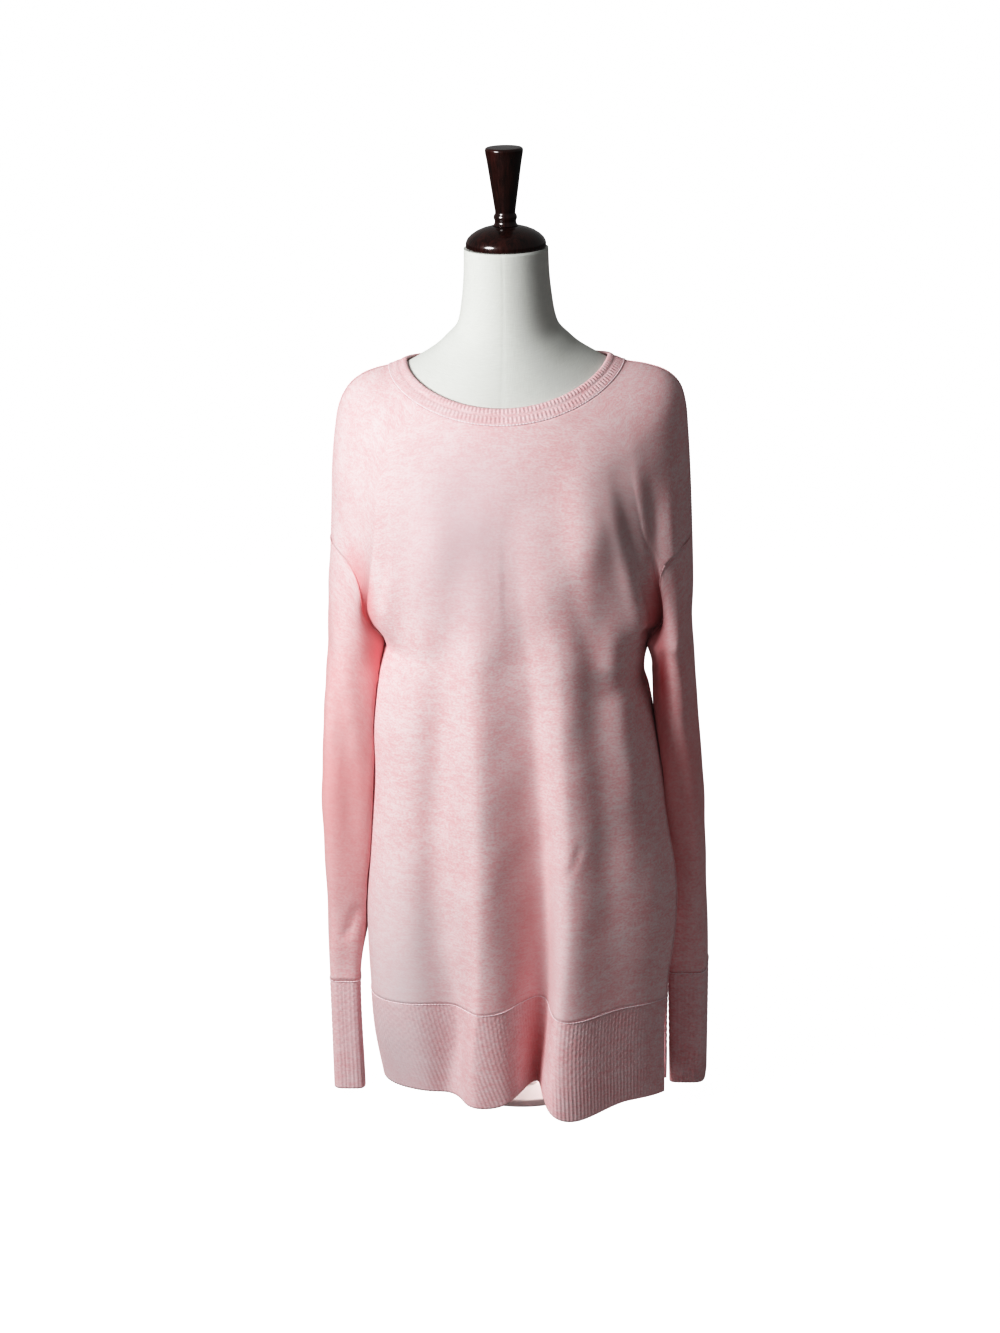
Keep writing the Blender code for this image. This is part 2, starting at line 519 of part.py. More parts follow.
def grid_faces(rows, columns, index, around=False, flip=False):
    """Quads over a grid whose vertex numbers index(row, column) gives."""
    faces = []
    for row in range(rows - 1):
        for column in range(columns if around else columns - 1):
            right = (column + 1) % columns
            quad = [index(row, column), index(row, right), index(row + 1, right), index(row + 1, column)]
            faces.append(quad if flip else quad[::-1])
    return faces


def cloth_grid(name, rows, look, thickness, around=False, flip=False):
    """A cloth piece from rows of points, its outside facing away from the body."""
    columns = len(rows[0])
    points = [point for row in rows for point in row]
    faces = grid_faces(len(rows), columns, lambda r, c: r * columns + c, around, flip)
    obj = new_object(name, points, faces, look)
    add_wall(obj, thickness)
    return obj


def centre_columns(facing):
    return sorted(spread(-1.0, 1.0, 2 * CENTRE_COLUMNS) + list(EXTRA_COLUMNS[facing]))


def body_columns(edge, facing):
    """Columns across a panel below the underarm, stopping edge short of each side seam."""
    side = spread_to_seam(1.0, 2.0 - edge, SIDE_COLUMNS[facing])[1:]
    return [-c for c in reversed(side)] + centre_columns(facing) + side


def make_panel(name, facing, look):
    """Front or back: a wide yoke that goes out over the shoulders, and the body below it."""
    level_gap = SEAM_GAP / 2 / YOKE_LEVEL_LENGTH
    arm = spread_to_seam(1.0, 2.0 - SHOULDER_GAPS * SEAM_GAP / ARM_COLUMN_LENGTH, ARM_COLUMNS)[1:]
    yoke_columns = [-c for c in reversed(arm)] + centre_columns(facing) + arm
    lower_columns = body_columns(SIDE_GAPS * SEAM_GAP / SIDE_COLUMN_LENGTH[facing], facing)
    points, yoke_index, lower_index = [], {}, {}
    for row, down in enumerate(spread_to_seam(0.0, 1.0, YOKE_ROWS)):
        for number, column in enumerate(yoke_columns):
            part = abs(column)
            lowest = UNDERARM if part <= 1 else armhole_level(part) - armhole_gap(part)
            highest = NECK_SEAM + level_gap
            level = highest + (lowest - highest) * down
            yoke_index[row, number] = len(points)
            points.append(yoke_point(column, level, facing))
    shift = ARM_COLUMNS - SIDE_COLUMNS[facing]
    for row in range(BODY_ROWS + 1):
        for number, column in enumerate(lower_columns):
            if row == 0 and abs(column) <= 1:
                lower_index[row, number] = yoke_index[YOKE_ROWS, number + shift]
                continue
            start = UNDERARM + (2 * level_gap if row == 0 else 0)
            level = start + (BAND_SEAM - level_gap - start) * row / BODY_ROWS
            lower_index[row, number] = len(points)
            points.append(body_point(column, level, facing))
    flip = facing > 0
    faces = grid_faces(YOKE_ROWS + 1, len(yoke_columns), lambda r, c: yoke_index[r, c], flip=flip)
    faces += grid_faces(BODY_ROWS + 1, len(lower_columns), lambda r, c: lower_index[r, c], flip=flip)
    obj = new_object(name, points, faces, look)
    add_wall(obj, KNIT)


def side_length(side, facing):
    """Length along the band from the arm fold to the side seam."""
    level = (BAND_SEAM + BAND_EDGE) / 2
    points = [body_point(side * column, level, facing) for column in spread(1.0, 2.0, 12)]
    return sum(float(np.linalg.norm(b - a)) for a, b in zip(points, points[1:]))


def make_hem_band(name, facing, look):
    top = BAND_SEAM + SEAM_GAP / 2 / BAND_LEVEL_LENGTH
    lengths = {side: side_length(side, facing) for side in (-1, 1)}
    rows = []
    for down in spread(0.0, 1.0, BAND_ROWS):
        points = []
        for column in body_columns(0.0, facing):
            side, part = (1 if column > 0 else -1), abs(column)
            vent = VENTS[facing].left if column > 0 else VENTS[facing].right
            if part > 1:
                part = 1 + (part - 1) * (1 - (VENT_GAPS * SEAM_GAP + vent * down) / lengths[side])
            points.append(body_point(side * part, top + (BAND_EDGE - top) * down, facing))
        rows.append(points)
    cloth_grid(name, rows, look, RIB, flip=facing > 0)


def sleeve_turns():
    quarter = spread_to_seam(0.0, 1.0, ARM_COLUMNS)
    outside = quarter + [2.0 - turn for turn in reversed(quarter[:-1])]
    under = spread(2.0, 4.0, 2 * UNDER_SLEEVE_COLUMNS)[1:-1]
    return outside + [turn if turn <= 3 else turn - 4 for turn in under]


def make_sleeve(name, side, look):
    last = BAND_SEAM - SEAM_GAP / 2 / SLEEVE_LEVEL_LENGTH
    columns = []
    for turn in sleeve_turns():
        start, part, facing = UNDERARM + SEAM_GAP / YOKE_LEVEL_LENGTH, 1.0, (-1 if turn <= 1 else 1)
        if 0.0 <= turn <= 2.0:
            part = 1 + (turn if turn <= 1 else 2 - turn)
            start = armhole_level(part) + armhole_gap(part)
        levels = spread(start, LEVEL_RING, UPPER_ARM_ROWS)[:-1]
        levels += spread_to_seam(LEVEL_RING, last, LOWER_ARM_ROWS)
        columns.append([
            yoke_point(side * part, level, facing) if level < UNDERARM else sleeve_point(turn, level, side)
            for level in reversed(levels)
        ])
    cloth_grid(name, list(zip(*columns)), look, KNIT, around=True, flip=side < 0)


def make_cuff(name, side, look):
    levels = spread(BAND_SEAM + SEAM_GAP / 2 / BAND_LEVEL_LENGTH, BAND_EDGE, BAND_ROWS)
    rows = [[sleeve_point(turn, level, side) for turn in sleeve_turns()] for level in levels]
    cloth_grid(name, rows, look, RIB, around=True, flip=side < 0)


def make_neckband(look):
    rows = []
    for down in spread_to_seam(0.0, NECK_SEAM - NECKBAND_GAPS * SEAM_GAP / NECKBAND_LENGTH, NECKBAND_ROWS):
        rows.append([
            neck_ring_point(down, 2 * math.pi * i / NECKBAND_COLUMNS) for i in range(NECKBAND_COLUMNS)
        ])
    cloth_grid("neckband", rows, look, RIB, around=True)


def make_torso(look):
    rows = []
    for ring in FORM:
        rows.append([])
        for i in range(FORM_COLUMNS):
            angle = 2 * math.pi * i / FORM_COLUMNS
            rows[-1].append(saddle_point(
                angle, ring.side_x, ring.front_y, ring.back_y, tilted(ring, angle), ring.front_z, ring.back_z,
                ring.square))
    points = [point for row in rows for point in row]
    faces = grid_faces(len(rows), FORM_COLUMNS, lambda r, c: r * FORM_COLUMNS + c, around=True)
    faces.append(list(range(FORM_COLUMNS)))
    faces.append(list(reversed(range(len(points) - FORM_COLUMNS, len(points)))))
    new_object("form_torso", points, faces, look)


def turned(name, profile, look):
    """A solid of revolution: the profile is its outer side, top to bottom."""
    outline = [(0.0, 0.0, profile[0][1])]
    outline += [(radius, 0.0, height) for radius, height in profile]
    outline.append((0.0, 0.0, profile[-1][1]))
    edges = [(i, i + 1) for i in range(len(outline) - 1)]
    mesh = bpy.data.meshes.new(name)
    mesh.from_pydata(outline, edges, [])
    obj = bpy.data.objects.new(name, mesh)
    obj.data.materials.append(look)
    bpy.data.collections[COLLECTION].objects.link(obj)
    screw = obj.modifiers.new("Turn", "SCREW")
    screw.steps = TURNING_STEPS
    screw.render_steps = TURNING_STEPS
    screw.use_merge_vertices = True
    screw.merge_threshold = 0.0001
    screw.use_smooth_shade = True
    return obj


def make_post_and_foot(look):
    top = FORM[-1].front_z - SEAM_GAP
    post = turned("form_post", [(POST_RADIUS, top), (POST_RADIUS, FOOT_HEIGHT + SEAM_GAP)], look)
    post.location.y = POST_Y
    foot = turned("form_foot", [
        (FOOT_RADIUS - FOOT_EDGE, FOOT_HEIGHT), (FOOT_RADIUS, FOOT_HEIGHT - FOOT_EDGE), (FOOT_RADIUS, 0.0),
    ], look)
    foot.location.y = FOOT_Y


def main():
    clear_scene()
    collection = bpy.data.collections.new(COLLECTION)
    bpy.context.scene.collection.children.link(collection)
    knit = material("pink_knit", (0.86, 0.56, 0.57), 0.85)
    rib = material("pink_rib", (0.84, 0.52, 0.53), 0.85)
    make_panel("sweater_front", -1, knit)
    make_panel("sweater_back", 1, knit)
    make_hem_band("hem_band_front", -1, rib)
    make_hem_band("hem_band_back", 1, rib)
    for word, side in (("left", 1), ("right", -1)):
        make_sleeve(f"sleeve_{word}", side, knit)
        make_cuff(f"cuff_{word}", side, rib)
    make_neckband(rib)
    make_torso(material("canvas", (0.74, 0.74, 0.70), 0.9))
    wood = material("dark_wood", (0.035, 0.010, 0.008), 0.18)
    turned("form_cap", CAP, wood)
    turned("form_finial", FINIAL, wood)
    make_post_and_foot(material("white_steel", (0.82, 0.82, 0.80), 0.35))


main()
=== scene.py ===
# A long fine-knit tunic sweater on a limbless dress form with a turned wood neck cap.
import math

import bpy
import numpy as np
from mathutils import Matrix, Vector


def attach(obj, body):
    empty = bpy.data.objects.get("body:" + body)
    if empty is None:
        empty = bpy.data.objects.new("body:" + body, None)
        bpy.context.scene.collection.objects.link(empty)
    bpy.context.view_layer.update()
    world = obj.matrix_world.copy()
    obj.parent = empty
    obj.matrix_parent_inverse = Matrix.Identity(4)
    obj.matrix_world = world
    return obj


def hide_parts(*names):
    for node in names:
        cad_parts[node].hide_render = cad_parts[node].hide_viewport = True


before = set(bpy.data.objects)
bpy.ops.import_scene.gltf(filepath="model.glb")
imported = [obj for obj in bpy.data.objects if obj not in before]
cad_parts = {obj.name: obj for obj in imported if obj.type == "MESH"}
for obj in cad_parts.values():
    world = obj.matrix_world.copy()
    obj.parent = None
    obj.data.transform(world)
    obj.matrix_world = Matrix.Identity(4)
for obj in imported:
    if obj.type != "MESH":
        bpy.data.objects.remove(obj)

norm = np.linalg.norm
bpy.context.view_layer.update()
scene = bpy.context.scene
print("frame loaded:", len(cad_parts), "nodes")

# Levels run down the cloth: 0 the neckband's free edge, 1 the neck seam, 11 the underarm, 16 the seam above
# each ribbed band, 17 its lower edge. Right and left are the wearer's, so right is -X. Front is -Y.
# Tables of places are written in millimetres, and everything else is in metres.
neckSeam, underarm, bandSeam, bandMiddle, bandEdge = 1.0, 11.0, 16.0, 16.5, 17.0
levelLength = {"neck": 0.020, "yoke": 0.035, "band": 0.1}  # about how much cloth there is to a level
seamGap = 0.0003  # room between two pieces at their join
underarmOpens = 2.0  # how soon the underarm, a straight line front to back, rounds out below
sides = (("right", -1.0), ("left", 1.0))


def smooth(t):
    t = np.clip(t, 0.0, 1.0)
    return t * t * (3.0 - 2.0 * t)


def ramp(value, start, width):
    # rises smoothly from 0 to 1 after start, or falls before it where the width is negative
    return smooth((value - start) / width)


def curve(rows, at):
    # a smooth curve through rows of (place, value, value, ...), with one array for each value
    rows = np.array(sorted(rows), float)
    x, y = rows[:, 0], rows[:, 1:]
    at = np.clip(np.asarray(at, float), x[0], x[-1])
    slope = np.gradient(y, x, axis=0)
    low = np.clip(np.searchsorted(x, at, side="right") - 1, 0, len(x) - 2)
    step = x[low + 1] - x[low]
    t = ((at - x[low]) / step)[..., None]
    step = step[..., None]
    value = (
        y[low] * (2 * t**3 - 3 * t**2 + 1) + y[low + 1] * (3 * t**2 - 2 * t**3)
        + step * (slope[low] * (t**3 - 2 * t**2 + t) + slope[low + 1] * (t**3 - t**2))
    )
    return [value[..., i] for i in range(value.shape[-1])] if value.shape[-1] > 1 else value[..., 0]


def rounded(value, power):
    # sine or cosine bent to a squarer or rounder ring
    return np.sign(value) * np.abs(value) ** (2.0 / power)


def metres(rows, first=0, last=None):
    # levels before the lengths, and powers and shares after them, stay as they are
    return [(*row[:first], *(v / 1000 for v in row[first:last]), *(row[last:] if last else ())) for row in rows]


def inMetres(tables, first=0):
    return {name: metres(rows, first) for name, rows in tables.items()}


def byLevel(rows, last=None):
    # one row to a level, from level 0
    return [(level, *row) for level, row in enumerate(metres(rows, 0, last))]


# The body tube, all by height
body = inMetres({
    "rightSide": [(512, 134.5), (490, 143), (465, 151), (440, 155.5), (376, 158), (298, 161), (214, 162),
                  (146, 160), (78, 157), (29, 150)],
    "leftSide": [(512, 143), (502, 142), (492, 138.8), (475, 137.2), (456, 143), (440, 146), (400, 152.2),
                 (326, 161), (255, 174.5), (223, 176), (188, 173.5), (156, 168.5), (109, 165), (29, 164)],
    "leftSideBehind": [(512, 143), (502, 141.6), (492, 138.4), (475, 136.8), (456, 141.8), (440, 144),
                       (400, 148), (360, 149.5), (280, 150), (29, 150)],
    "frontDepth": [(512, 129), (440, 130), (360, 130), (280, 127), (205, 121), (131, 115), (29, 110)],
    "backDepth": [(512, 110), (440, 111), (360, 113), (280, 116), (205, 118), (29, 121)],
    "leftSeamForward": [(512, 0), (460, 3), (360, 18), (250, 33.5), (165, 39.5), (29, 40)],
})
body["heights"] = metres([(11, 512), (12, 440), (13, 360), (14, 280), (15, 205), (16, 131), (17, 29)], 1)
body["rightPower"] = metres([(512, 2.4), (300, 2.5), (131, 3.2), (29, 2.4)], 0, 1)  # how square the ring is
body["leftPower"] = metres([(512, 2.4), (300, 2.2), (131, 2.2), (29, 2.2)], 0, 1)
backPower = 2.4
foldDepth = 0.028  # how far the arm folds lie in front of and behind the middle
# The drapes of the skirt, by height: middle, width to each side and how far out of the ring
frontDrapes = inMetres({
    "rightHollow": [(600, -60, 20, 18, 0), (520, -66, 22, 18, -6), (440, -70, 22, 18, -11),
                    (380, -73, 22, 18, -13), (300, -77, 22, 22, -13), (200, -74, 26, 20, -15),
                    (131, -64, 30, 13, -16), (29, -62, 22, 12, -20)],
    "rightRidge": [(620, -32, 18, 20, 0), (440, -30, 16, 22, 7), (250, -31, 14, 24, 10), (131, -36, 9, 34, 10),
                   (29, -48, 20, 50, 19)],
    "middleHollow": [(640, 16, 18, 16, 0), (550, 20, 24, 15, -5.5), (450, 26, 27, 15, -10),
                     (300, 33, 31, 13, -21), (200, 34, 30, 10, -32), (131, 32, 27, 8, -43),
                     (29, 21, 16, 9.5, -58)],
    "leftRidge": [(640, 60, 16, 18, 0), (550, 61, 15, 22, 4), (450, 62, 14, 26, 6), (300, 66, 16, 29, 10.5),
                  (200, 63, 18, 30, 15), (131, 58, 24, 36, 18), (29, 50, 30, 50, 34)],
    "leftHollow": [(620, 92, 12, 12, 0), (520, 90, 11, 12, -3), (400, 95, 11, 13, -4), (300, 101, 12, 16, -3),
                   (200, 108, 14, 20, -1), (29, 110, 20, 20, 0)],
})
backDrapes = inMetres({
    "leftRidge": [(440, -75, 30, 30, 0), (250, -82, 28, 28, 10), (29, -90, 26, 24, 19)],
    "leftHollow": [(460, -30, 22, 22, 0), (250, -33, 20, 20, -14), (29, -36, 18, 18, -28)],
    "middleRidge": [(440, 15, 30, 30, 0), (250, 18, 28, 26, 11), (29, 20, 24, 20, 21)],
    "rightHollow": [(400, 70, 24, 24, 0), (200, 75, 22, 20, -11), (29, 80, 20, 16, -21)],
})
hemLift = metres([(-160, 4), (-70, 4), (-50, 0), (-12, 0), (10, 9), (27, 9), (42, -4), (120, -5), (160, -9.5)])
liftFrom = 14.5  # level from which the front's lower edge follows hemLift


def bodyAt(key, z):
    return curve(body[key], z)


def drape(x, z, drapes):
    total = np.zeros(np.broadcast(x, z).shape)
    for rows in drapes.values():
        middle, before, after, out = curve(rows, z)
        width = np.where(x < middle, before, after)
        total = total + out * np.exp(-(((x - middle) / width) ** 2)) * (z < rows[0][0])
    return total


def sideOfRing(quarter, y):
    # half width of a ring at a distance in front of or behind its middle
    half, depth, power = quarter
    return half * (1.0 - np.minimum(np.abs(y) / depth, 1.0) ** power) ** (1.0 / power)


def quarterOf(z, left, front):
    # half width, depth and squareness of a quarter of the body
    side = bodyAt("rightSide" if not left else "leftSide" if front else "leftSideBehind", z)
    if not front:
        return side, bodyAt("backDepth", z), backPower
    return side, bodyAt("frontDepth", z), bodyAt("leftPower" if left else "rightPower", z)


def swungForward(z, y):
    # behind, the left side goes on forward to the seam and meets the front there at the front's own slope
    seamY, start, quarter = bodyAt("leftSeamForward", z), quarterOf(z, True, False)[0], quarterOf(z, True, True)
    end, step = sideOfRing(quarter, seamY), 0.001
    slope = (sideOfRing(quarter, seamY + step) - end) / step * seamY
    t = np.clip(y / np.maximum(seamY, step), 0, 1)
    return start + (end - start) * smooth(t) + slope * (t**3 - t**2)


def besideBody(z, y, left):
    # how far out the side of the body is at one place
    beside = np.where(y < 0, sideOfRing(quarterOf(z, left, True), y), sideOfRing(quarterOf(z, left, False), y))
    if left:
        beside = np.where((y < 0) & (y > -bodyAt("leftSeamForward", z)), swungForward(z, -y), beside)
    return beside


def bodyPoint(column, level, front):
    # columns run from -2 to 2: 0 the middle of the panel, 1 the arm fold, 2 the side seam
    column, level = np.broadcast_arrays(np.asarray(column, float), np.asarray(level, float))
    z = bodyAt("heights", level)
    left, part = column > 0, np.abs(column)
    depth = bodyAt("frontDepth" if front else "backDepth", z)
    power = np.where(left, bodyAt("leftPower", z), bodyAt("rightPower", z)) if front else backPower
    leftSide = bodyAt("leftSide", z)
    side = np.where(left, leftSide if front else bodyAt("leftSideBehind", z), bodyAt("rightSide", z))
    forward = np.where(left, bodyAt("leftSeamForward", z), 0.0)
    foldY = foldDepth + (forward if front else 0.0)
    seamY = forward if front else -forward
    foldAngle = np.arccos((foldY / depth) ** (power / 2))
    angle = foldAngle * np.minimum(part, 1.0)
    x = side * rounded(np.sin(angle), power)
    y = depth * rounded(np.cos(angle), power)
    share = np.maximum(part - 1.0, 0.0)
    sideY = foldY + (seamY - foldY) * share
    sideX = side * (1.0 - (np.abs(sideY) / depth) ** power) ** (1.0 / power)
    if not front:
        sideX = np.where(left & (sideY < 0), swungForward(z, -sideY), sideX)
    foldX = side * rounded(np.sin(foldAngle), power)
    opened = smooth((level - underarm) * underarmOpens)
    sideX = foldX + (sideX - foldX) * opened
    x = np.where(part > 1.0, sideX, x)
    y = np.where(part > 1.0, sideY, y)
    x = x * np.sign(column)
    fade = smooth((side - np.abs(x)) / 0.03 + 0.05)  # the drapes fade out towards the side seams
    y = y + drape(x, z, frontDrapes if front else backDrapes) * fade
    if front:
        z = z + curve(hemLift, x) * smooth((level - liftFrom) / (bandEdge - liftFrom))
    return np.stack([x, -y if front else y, z], -1)


# The sleeves, by level: height, outer side, inner side, half depth, middle's place front to back, and how far
# the inner front edge may lap over the body
sleeves = inMetres({
    "right": [
        (11, 512, 197, 0, 66, 0, 2), (11.25, 494, 197.5, 143, 66, -2, 12),
        (11.5, 476, 198.5, 148.2, 66, -5, 18), (12, 440, 200.5, 156.7, 65, -9, 22),
        (13, 360, 204.5, 159.7, 62, -12, 24), (14, 280, 205.5, 162.4, 55, -8, 20),
        (15, 205, 205.5, 165, 47, 2, 8), (16, 137, 205.5, 169.8, 40, 10, 0), (17, 13, 205, 169, 37, 16, 0)],
    "left": [
        (11, 512, 190.5, 0, 66, 0, 0), (11.25, 494, 190.7, 144.8, 63, 6, 0),
        (11.5, 476, 191, 145.8, 61, 12, 0), (12, 440, 191.5, 146.2, 57, 20, 0),
        (13, 360, 195.5, 149, 53, 32, 0), (14, 280, 198, 151.5, 49, 39, 0),
        (15, 205, 198.5, 154.5, 46, 43, 0), (16, 137, 198.5, 155, 40, 45, 0), (17, 12, 195, 155, 37, 47, 0)],
}, 1)
arm = {
    "depth": 0.066,  # half the depth of the arm where it leaves the body
    "gap": 0.0013,  # between a sleeve's inner side and the body
    "power": 3.2,  # how square a sleeve hangs below the underarm
    "cuffSquarer": 1.6, "squarerFrom": 15,  # how much squarer its cuff is, and from which level on
    "cuffNarrower": 0.012, "narrowerFrom": 14,  # and how much narrower behind, on its inner side
}
armFold = math.acos(foldDepth / arm["depth"])  # from straight ahead to the arm fold, on a sleeve's ring
for name, sign in sides:  # both tubes start from the same fold
    foldX = abs(float(bodyPoint(sign, underarm, True)[0]))
    level, height, outer = sleeves[name][0][:3]
    half = (outer - foldX) / (1.0 + math.sin(armFold))
    sleeves[name][0] = (level, height, outer, outer - 2.0 * half, arm["depth"], 0.0, 0.0)


def sleevePoint(turn, level, name):
    # turn 0 is the front arm fold, 1 the outside, 2 the back arm fold, -1 or 3 the underarm seam
    turn, level = np.broadcast_arrays(np.asarray(turn, float), np.asarray(level, float))
    z, outer, inner, halfY, middleY, lap = curve(sleeves[name], level)
    middle, half = (outer + inner) / 2, (outer - inner) / 2
    power = 2.0 + (arm["power"] - 2.0) * smooth(level - underarm)
    power = power + arm["cuffSquarer"] * smooth(level - arm["squarerFrom"])
    back = turn > 1.0
    part = np.where(back, 2.0 - turn, turn)
    angle = -armFold + (math.pi / 2 + np.where(part >= 0, armFold, -armFold)) * part
    x = middle + half * rounded(np.sin(angle), power)
    foldX = middle - half * math.sin(armFold)
    x = np.where(part < 0, foldX + (x - foldX) * smooth((level - underarm) * underarmOpens), x)
    y = middleY - halfY * rounded(np.cos(angle), power) * np.where(back, -1.0, 1.0)
    inward = smooth((middle - x) / half)
    behind = np.clip((y - middleY) / halfY + 1, 0, 2) / 2
    x = x + arm["cuffNarrower"] * inward * behind * smooth(level - arm["narrowerFrom"])
    clear = besideBody(z, y, name == "left") + arm["gap"] * smooth((level - underarm) * 4)
    x = np.maximum(x - lap * inward, clear)
    return np.stack([x * dict(sides)[name], y, z], -1)


def ringPoint(turn, level, name):
    # the same from one front arm fold round to the next, turn 0 to 4
    return sleevePoint(np.where(turn > 3, turn - 4, turn), level, name)


# The yoke's rings, a row to a level: half width right and left, depth front and back, height at the right,
# left, front and back, and how far the arm folds have gone in, right and left
yoke = {
    "rings": byLevel([
        (106.5, 104.5, 92.5, 74.5, 813.5, 816.5, 777.5, 808, 0, 0),
        (125, 121.5, 104, 78, 806, 809.5, 761, 790, 0, 0), (140, 144, 111, 88, 802, 805.5, 742, 776, 0, 0),
        (155, 164.5, 116, 96, 795.5, 798.5, 722, 757, 0, 0),
        (169, 178.5, 119.5, 102, 783.5, 785, 702, 735, 0, 0.01),
        (179, 184.5, 122.5, 106, 763.5, 764, 682, 712, 0.01, 0.04),
        (184, 186.5, 126.5, 109, 735, 735, 660, 686, 0.03, 0.08),
        (187.5, 188, 130, 111, 698, 698, 635, 656, 0.07, 0.14),
        (189, 189, 132, 112, 654, 654, 608, 624, 0.14, 0.24),
        (191, 189.5, 132, 112, 607, 607, 578, 588, 0.28, 0.38),
        (194, 190, 130, 111, 560, 560, 546, 550, 0.56, 0.62),
        (197, 190.5, 129, 110, 512, 512, 512, 512, 1, 1)], 8),
    "power": (2.0, 2.1),  # at the neckline and at the underarm
    "shoulderRidge": 1.4,  # how soon a ring drops on leaving the shoulder line
    "foldAngle": math.radians(44.5),  # where on a ring the arm folds start
    "seamOutside": 8.65,  # level of the dropped armhole seam on the outside of the arm
    "seamSlope": 6,  # how level the seam stays before it drops to the underarm
}


def saddleRing(angle, rightX, leftX, frontY, backY, rightZ, leftZ, frontZ, backZ, power):
    # angle 0 is the front middle, 90 degrees the left shoulder line, 180 the back middle
    across, along = np.sin(angle), np.cos(angle)
    sideZ = rightZ + (leftZ - rightZ) * (0.5 + 0.5 * across)
    ahead = along >= 0
    depth, middleZ = np.where(ahead, frontY, backY), np.where(ahead, frontZ, backZ)
    return np.stack([
        np.where(across > 0, leftX, rightX) * rounded(across, power),
        -depth * rounded(along, power),
        sideZ + (middleZ - sideZ) * np.abs(along) ** yoke["shoulderRidge"],
    ], -1)


def saddlePoint(angle, level, power):
    # with how far the arm fold has gone in there
    *ring, goneRight, goneLeft = curve(yoke["rings"], level)
    return saddleRing(angle, *ring, power), np.where(np.sin(angle) > 0, goneLeft, goneRight)


# Where the cloth of the front bulges over the arm folds, by height: how far the fold goes aside, how much
# deeper it is, and how far the cloth beside it comes forward
armpits = inMetres({
    "right": [(700, 0, 0, 0), (640, 3, 0, 1), (605, 7, 1, 2), (575, 11, 2, 3), (553, 14, 2, 3), (535, 10, 2, 2),
              (522, 2, 1, 1), (512, 0, 0, 0)],
    "left": [(700, 0, 0, 0), (650, 6, 3, 0), (610, 14, 8, 0), (575, 20, 13, 1), (550, 22, 15, 2),
             (535, 17, 12, 2), (522, 6, 5, 1), (512, 0, 0, 0)],
})
bulge = {"foldWidth": 0.20, "at": 0.80, "width": 0.14, "aside": 0.9}  # in columns along the ring, and a share


def armpitShift(column, z):
    total = np.zeros(np.shape(column) + (3,))
    for word, sign in sides:
        aside, deeper, forward = curve(armpits[word], z)
        part = column * sign
        near = np.exp(-(((part - 1.0) / bulge["foldWidth"]) ** 2))
        beside = np.exp(-(((part - bulge["at"]) / bulge["width"]) ** 2))
        total[..., 0] += sign * aside * np.maximum(near, beside * bulge["aside"])
        total[..., 1] += deeper * near - forward * beside
    return total


def yokePoint(column, level, front):
    column, level = np.broadcast_arrays(np.asarray(column, float), np.asarray(level, float))
    part, side = np.abs(column), np.sign(column)
    angle = yoke["foldAngle"] * np.minimum(part, 1.0)
    angle = angle + (math.pi / 2 - yoke["foldAngle"]) * np.maximum(part - 1.0, 0.0)
    turn = part - 1.0 if front else 3.0 - part
    right, left = (sleevePoint(turn, underarm, name) for name, sign in sides)
    split = np.where((side > 0)[..., None], left, right)
    split = np.where((part <= 1.0)[..., None], bodyPoint(np.clip(column, -1, 1), underarm, front), split)
    power = yoke["power"][0] + (yoke["power"][1] - yoke["power"][0]) * level / underarm
    whole, gone = saddlePoint(side * (angle if front else math.pi - angle), level, power)
    split = split * [1, 1, 0] + whole * [0, 0, 1]
    whole = whole + (split - whole) * gone[..., None]
    return whole + armpitShift(column, whole[..., 2]) if front else whole


def armholeLevel(part):
    return underarm - (underarm - yoke["seamOutside"]) * (1.0 - (2.0 - part) ** yoke["seamSlope"])


def capPoint(turn, level, sign):
    # the top of the arm: turn 0 to 1 in front, 1 to 2 behind
    column, ahead = sign * (1 + np.where(turn <= 1, turn, 2 - turn)), (turn <= 1)[:, None]
    return np.where(ahead, yokePoint(column, level, True), yokePoint(column, level, False))


def evenly(place, first, last, count):
    # count steps from first towards last, each the same length along the cloth; last itself is left out
    dense = np.linspace(first, last, 40 + 3 * count)
    length = np.concatenate([[0.0], np.cumsum(norm(np.diff(place(dense), axis=0), axis=1))])
    return np.interp(np.linspace(0.0, length[-1], count + 1), length, dense)[:-1]


def evenRow(place, stops, counts):
    parts = [evenly(place, first, last, count) for first, last, count in zip(stops, stops[1:], counts)]
    return np.append(np.concatenate(parts), stops[-1])


def gridOf(places, place, stops, counts, closed=False):
    # a row of points for each place down the cloth; the columns are even between the stops
    rows = []
    for down in places:
        row = evenRow(lambda column: place(column, down), stops(down) if callable(stops) else stops, counts)
        rows.append(place(row[:-1] if closed else row, down))
    return np.array(rows)


def lengthOf(points):
    return norm(np.diff(points, axis=0), axis=1).sum()


def lengthAlong(points, axis):
    steps = norm(np.diff(points, axis=axis), axis=-1)
    pad = [(0, 0), (0, 0)]
    pad[axis] = (1, 0)
    return np.pad(np.cumsum(steps, axis=axis), pad)


def flatPlaces(points, middle, fromBottom=False):
    # where each point lies on the flat cloth: across from the middle column, and up, so that courses stay level
    across, down = lengthAlong(points, 1), lengthAlong(points, 0)
    if fromBottom:
        up = down[-1:] - down + points[-1:, :, 2] - points[-1, middle, 2]
    else:
        up = -np.broadcast_to(down.mean(axis=1, keepdims=True), down.shape)
    return np.stack([across - across[:, middle:middle + 1], up], -1)


def vertexNormals(points, quads):
    a, b, c, d = (points[quads[:, i]] for i in range(4))
    face = np.cross(c - a, d - b)
    normal = np.zeros_like(points)
    for i in range(4):
        np.add.at(normal, quads[:, i], face)
    return normal / np.maximum(norm(normal, axis=1, keepdims=True), 1e-12)


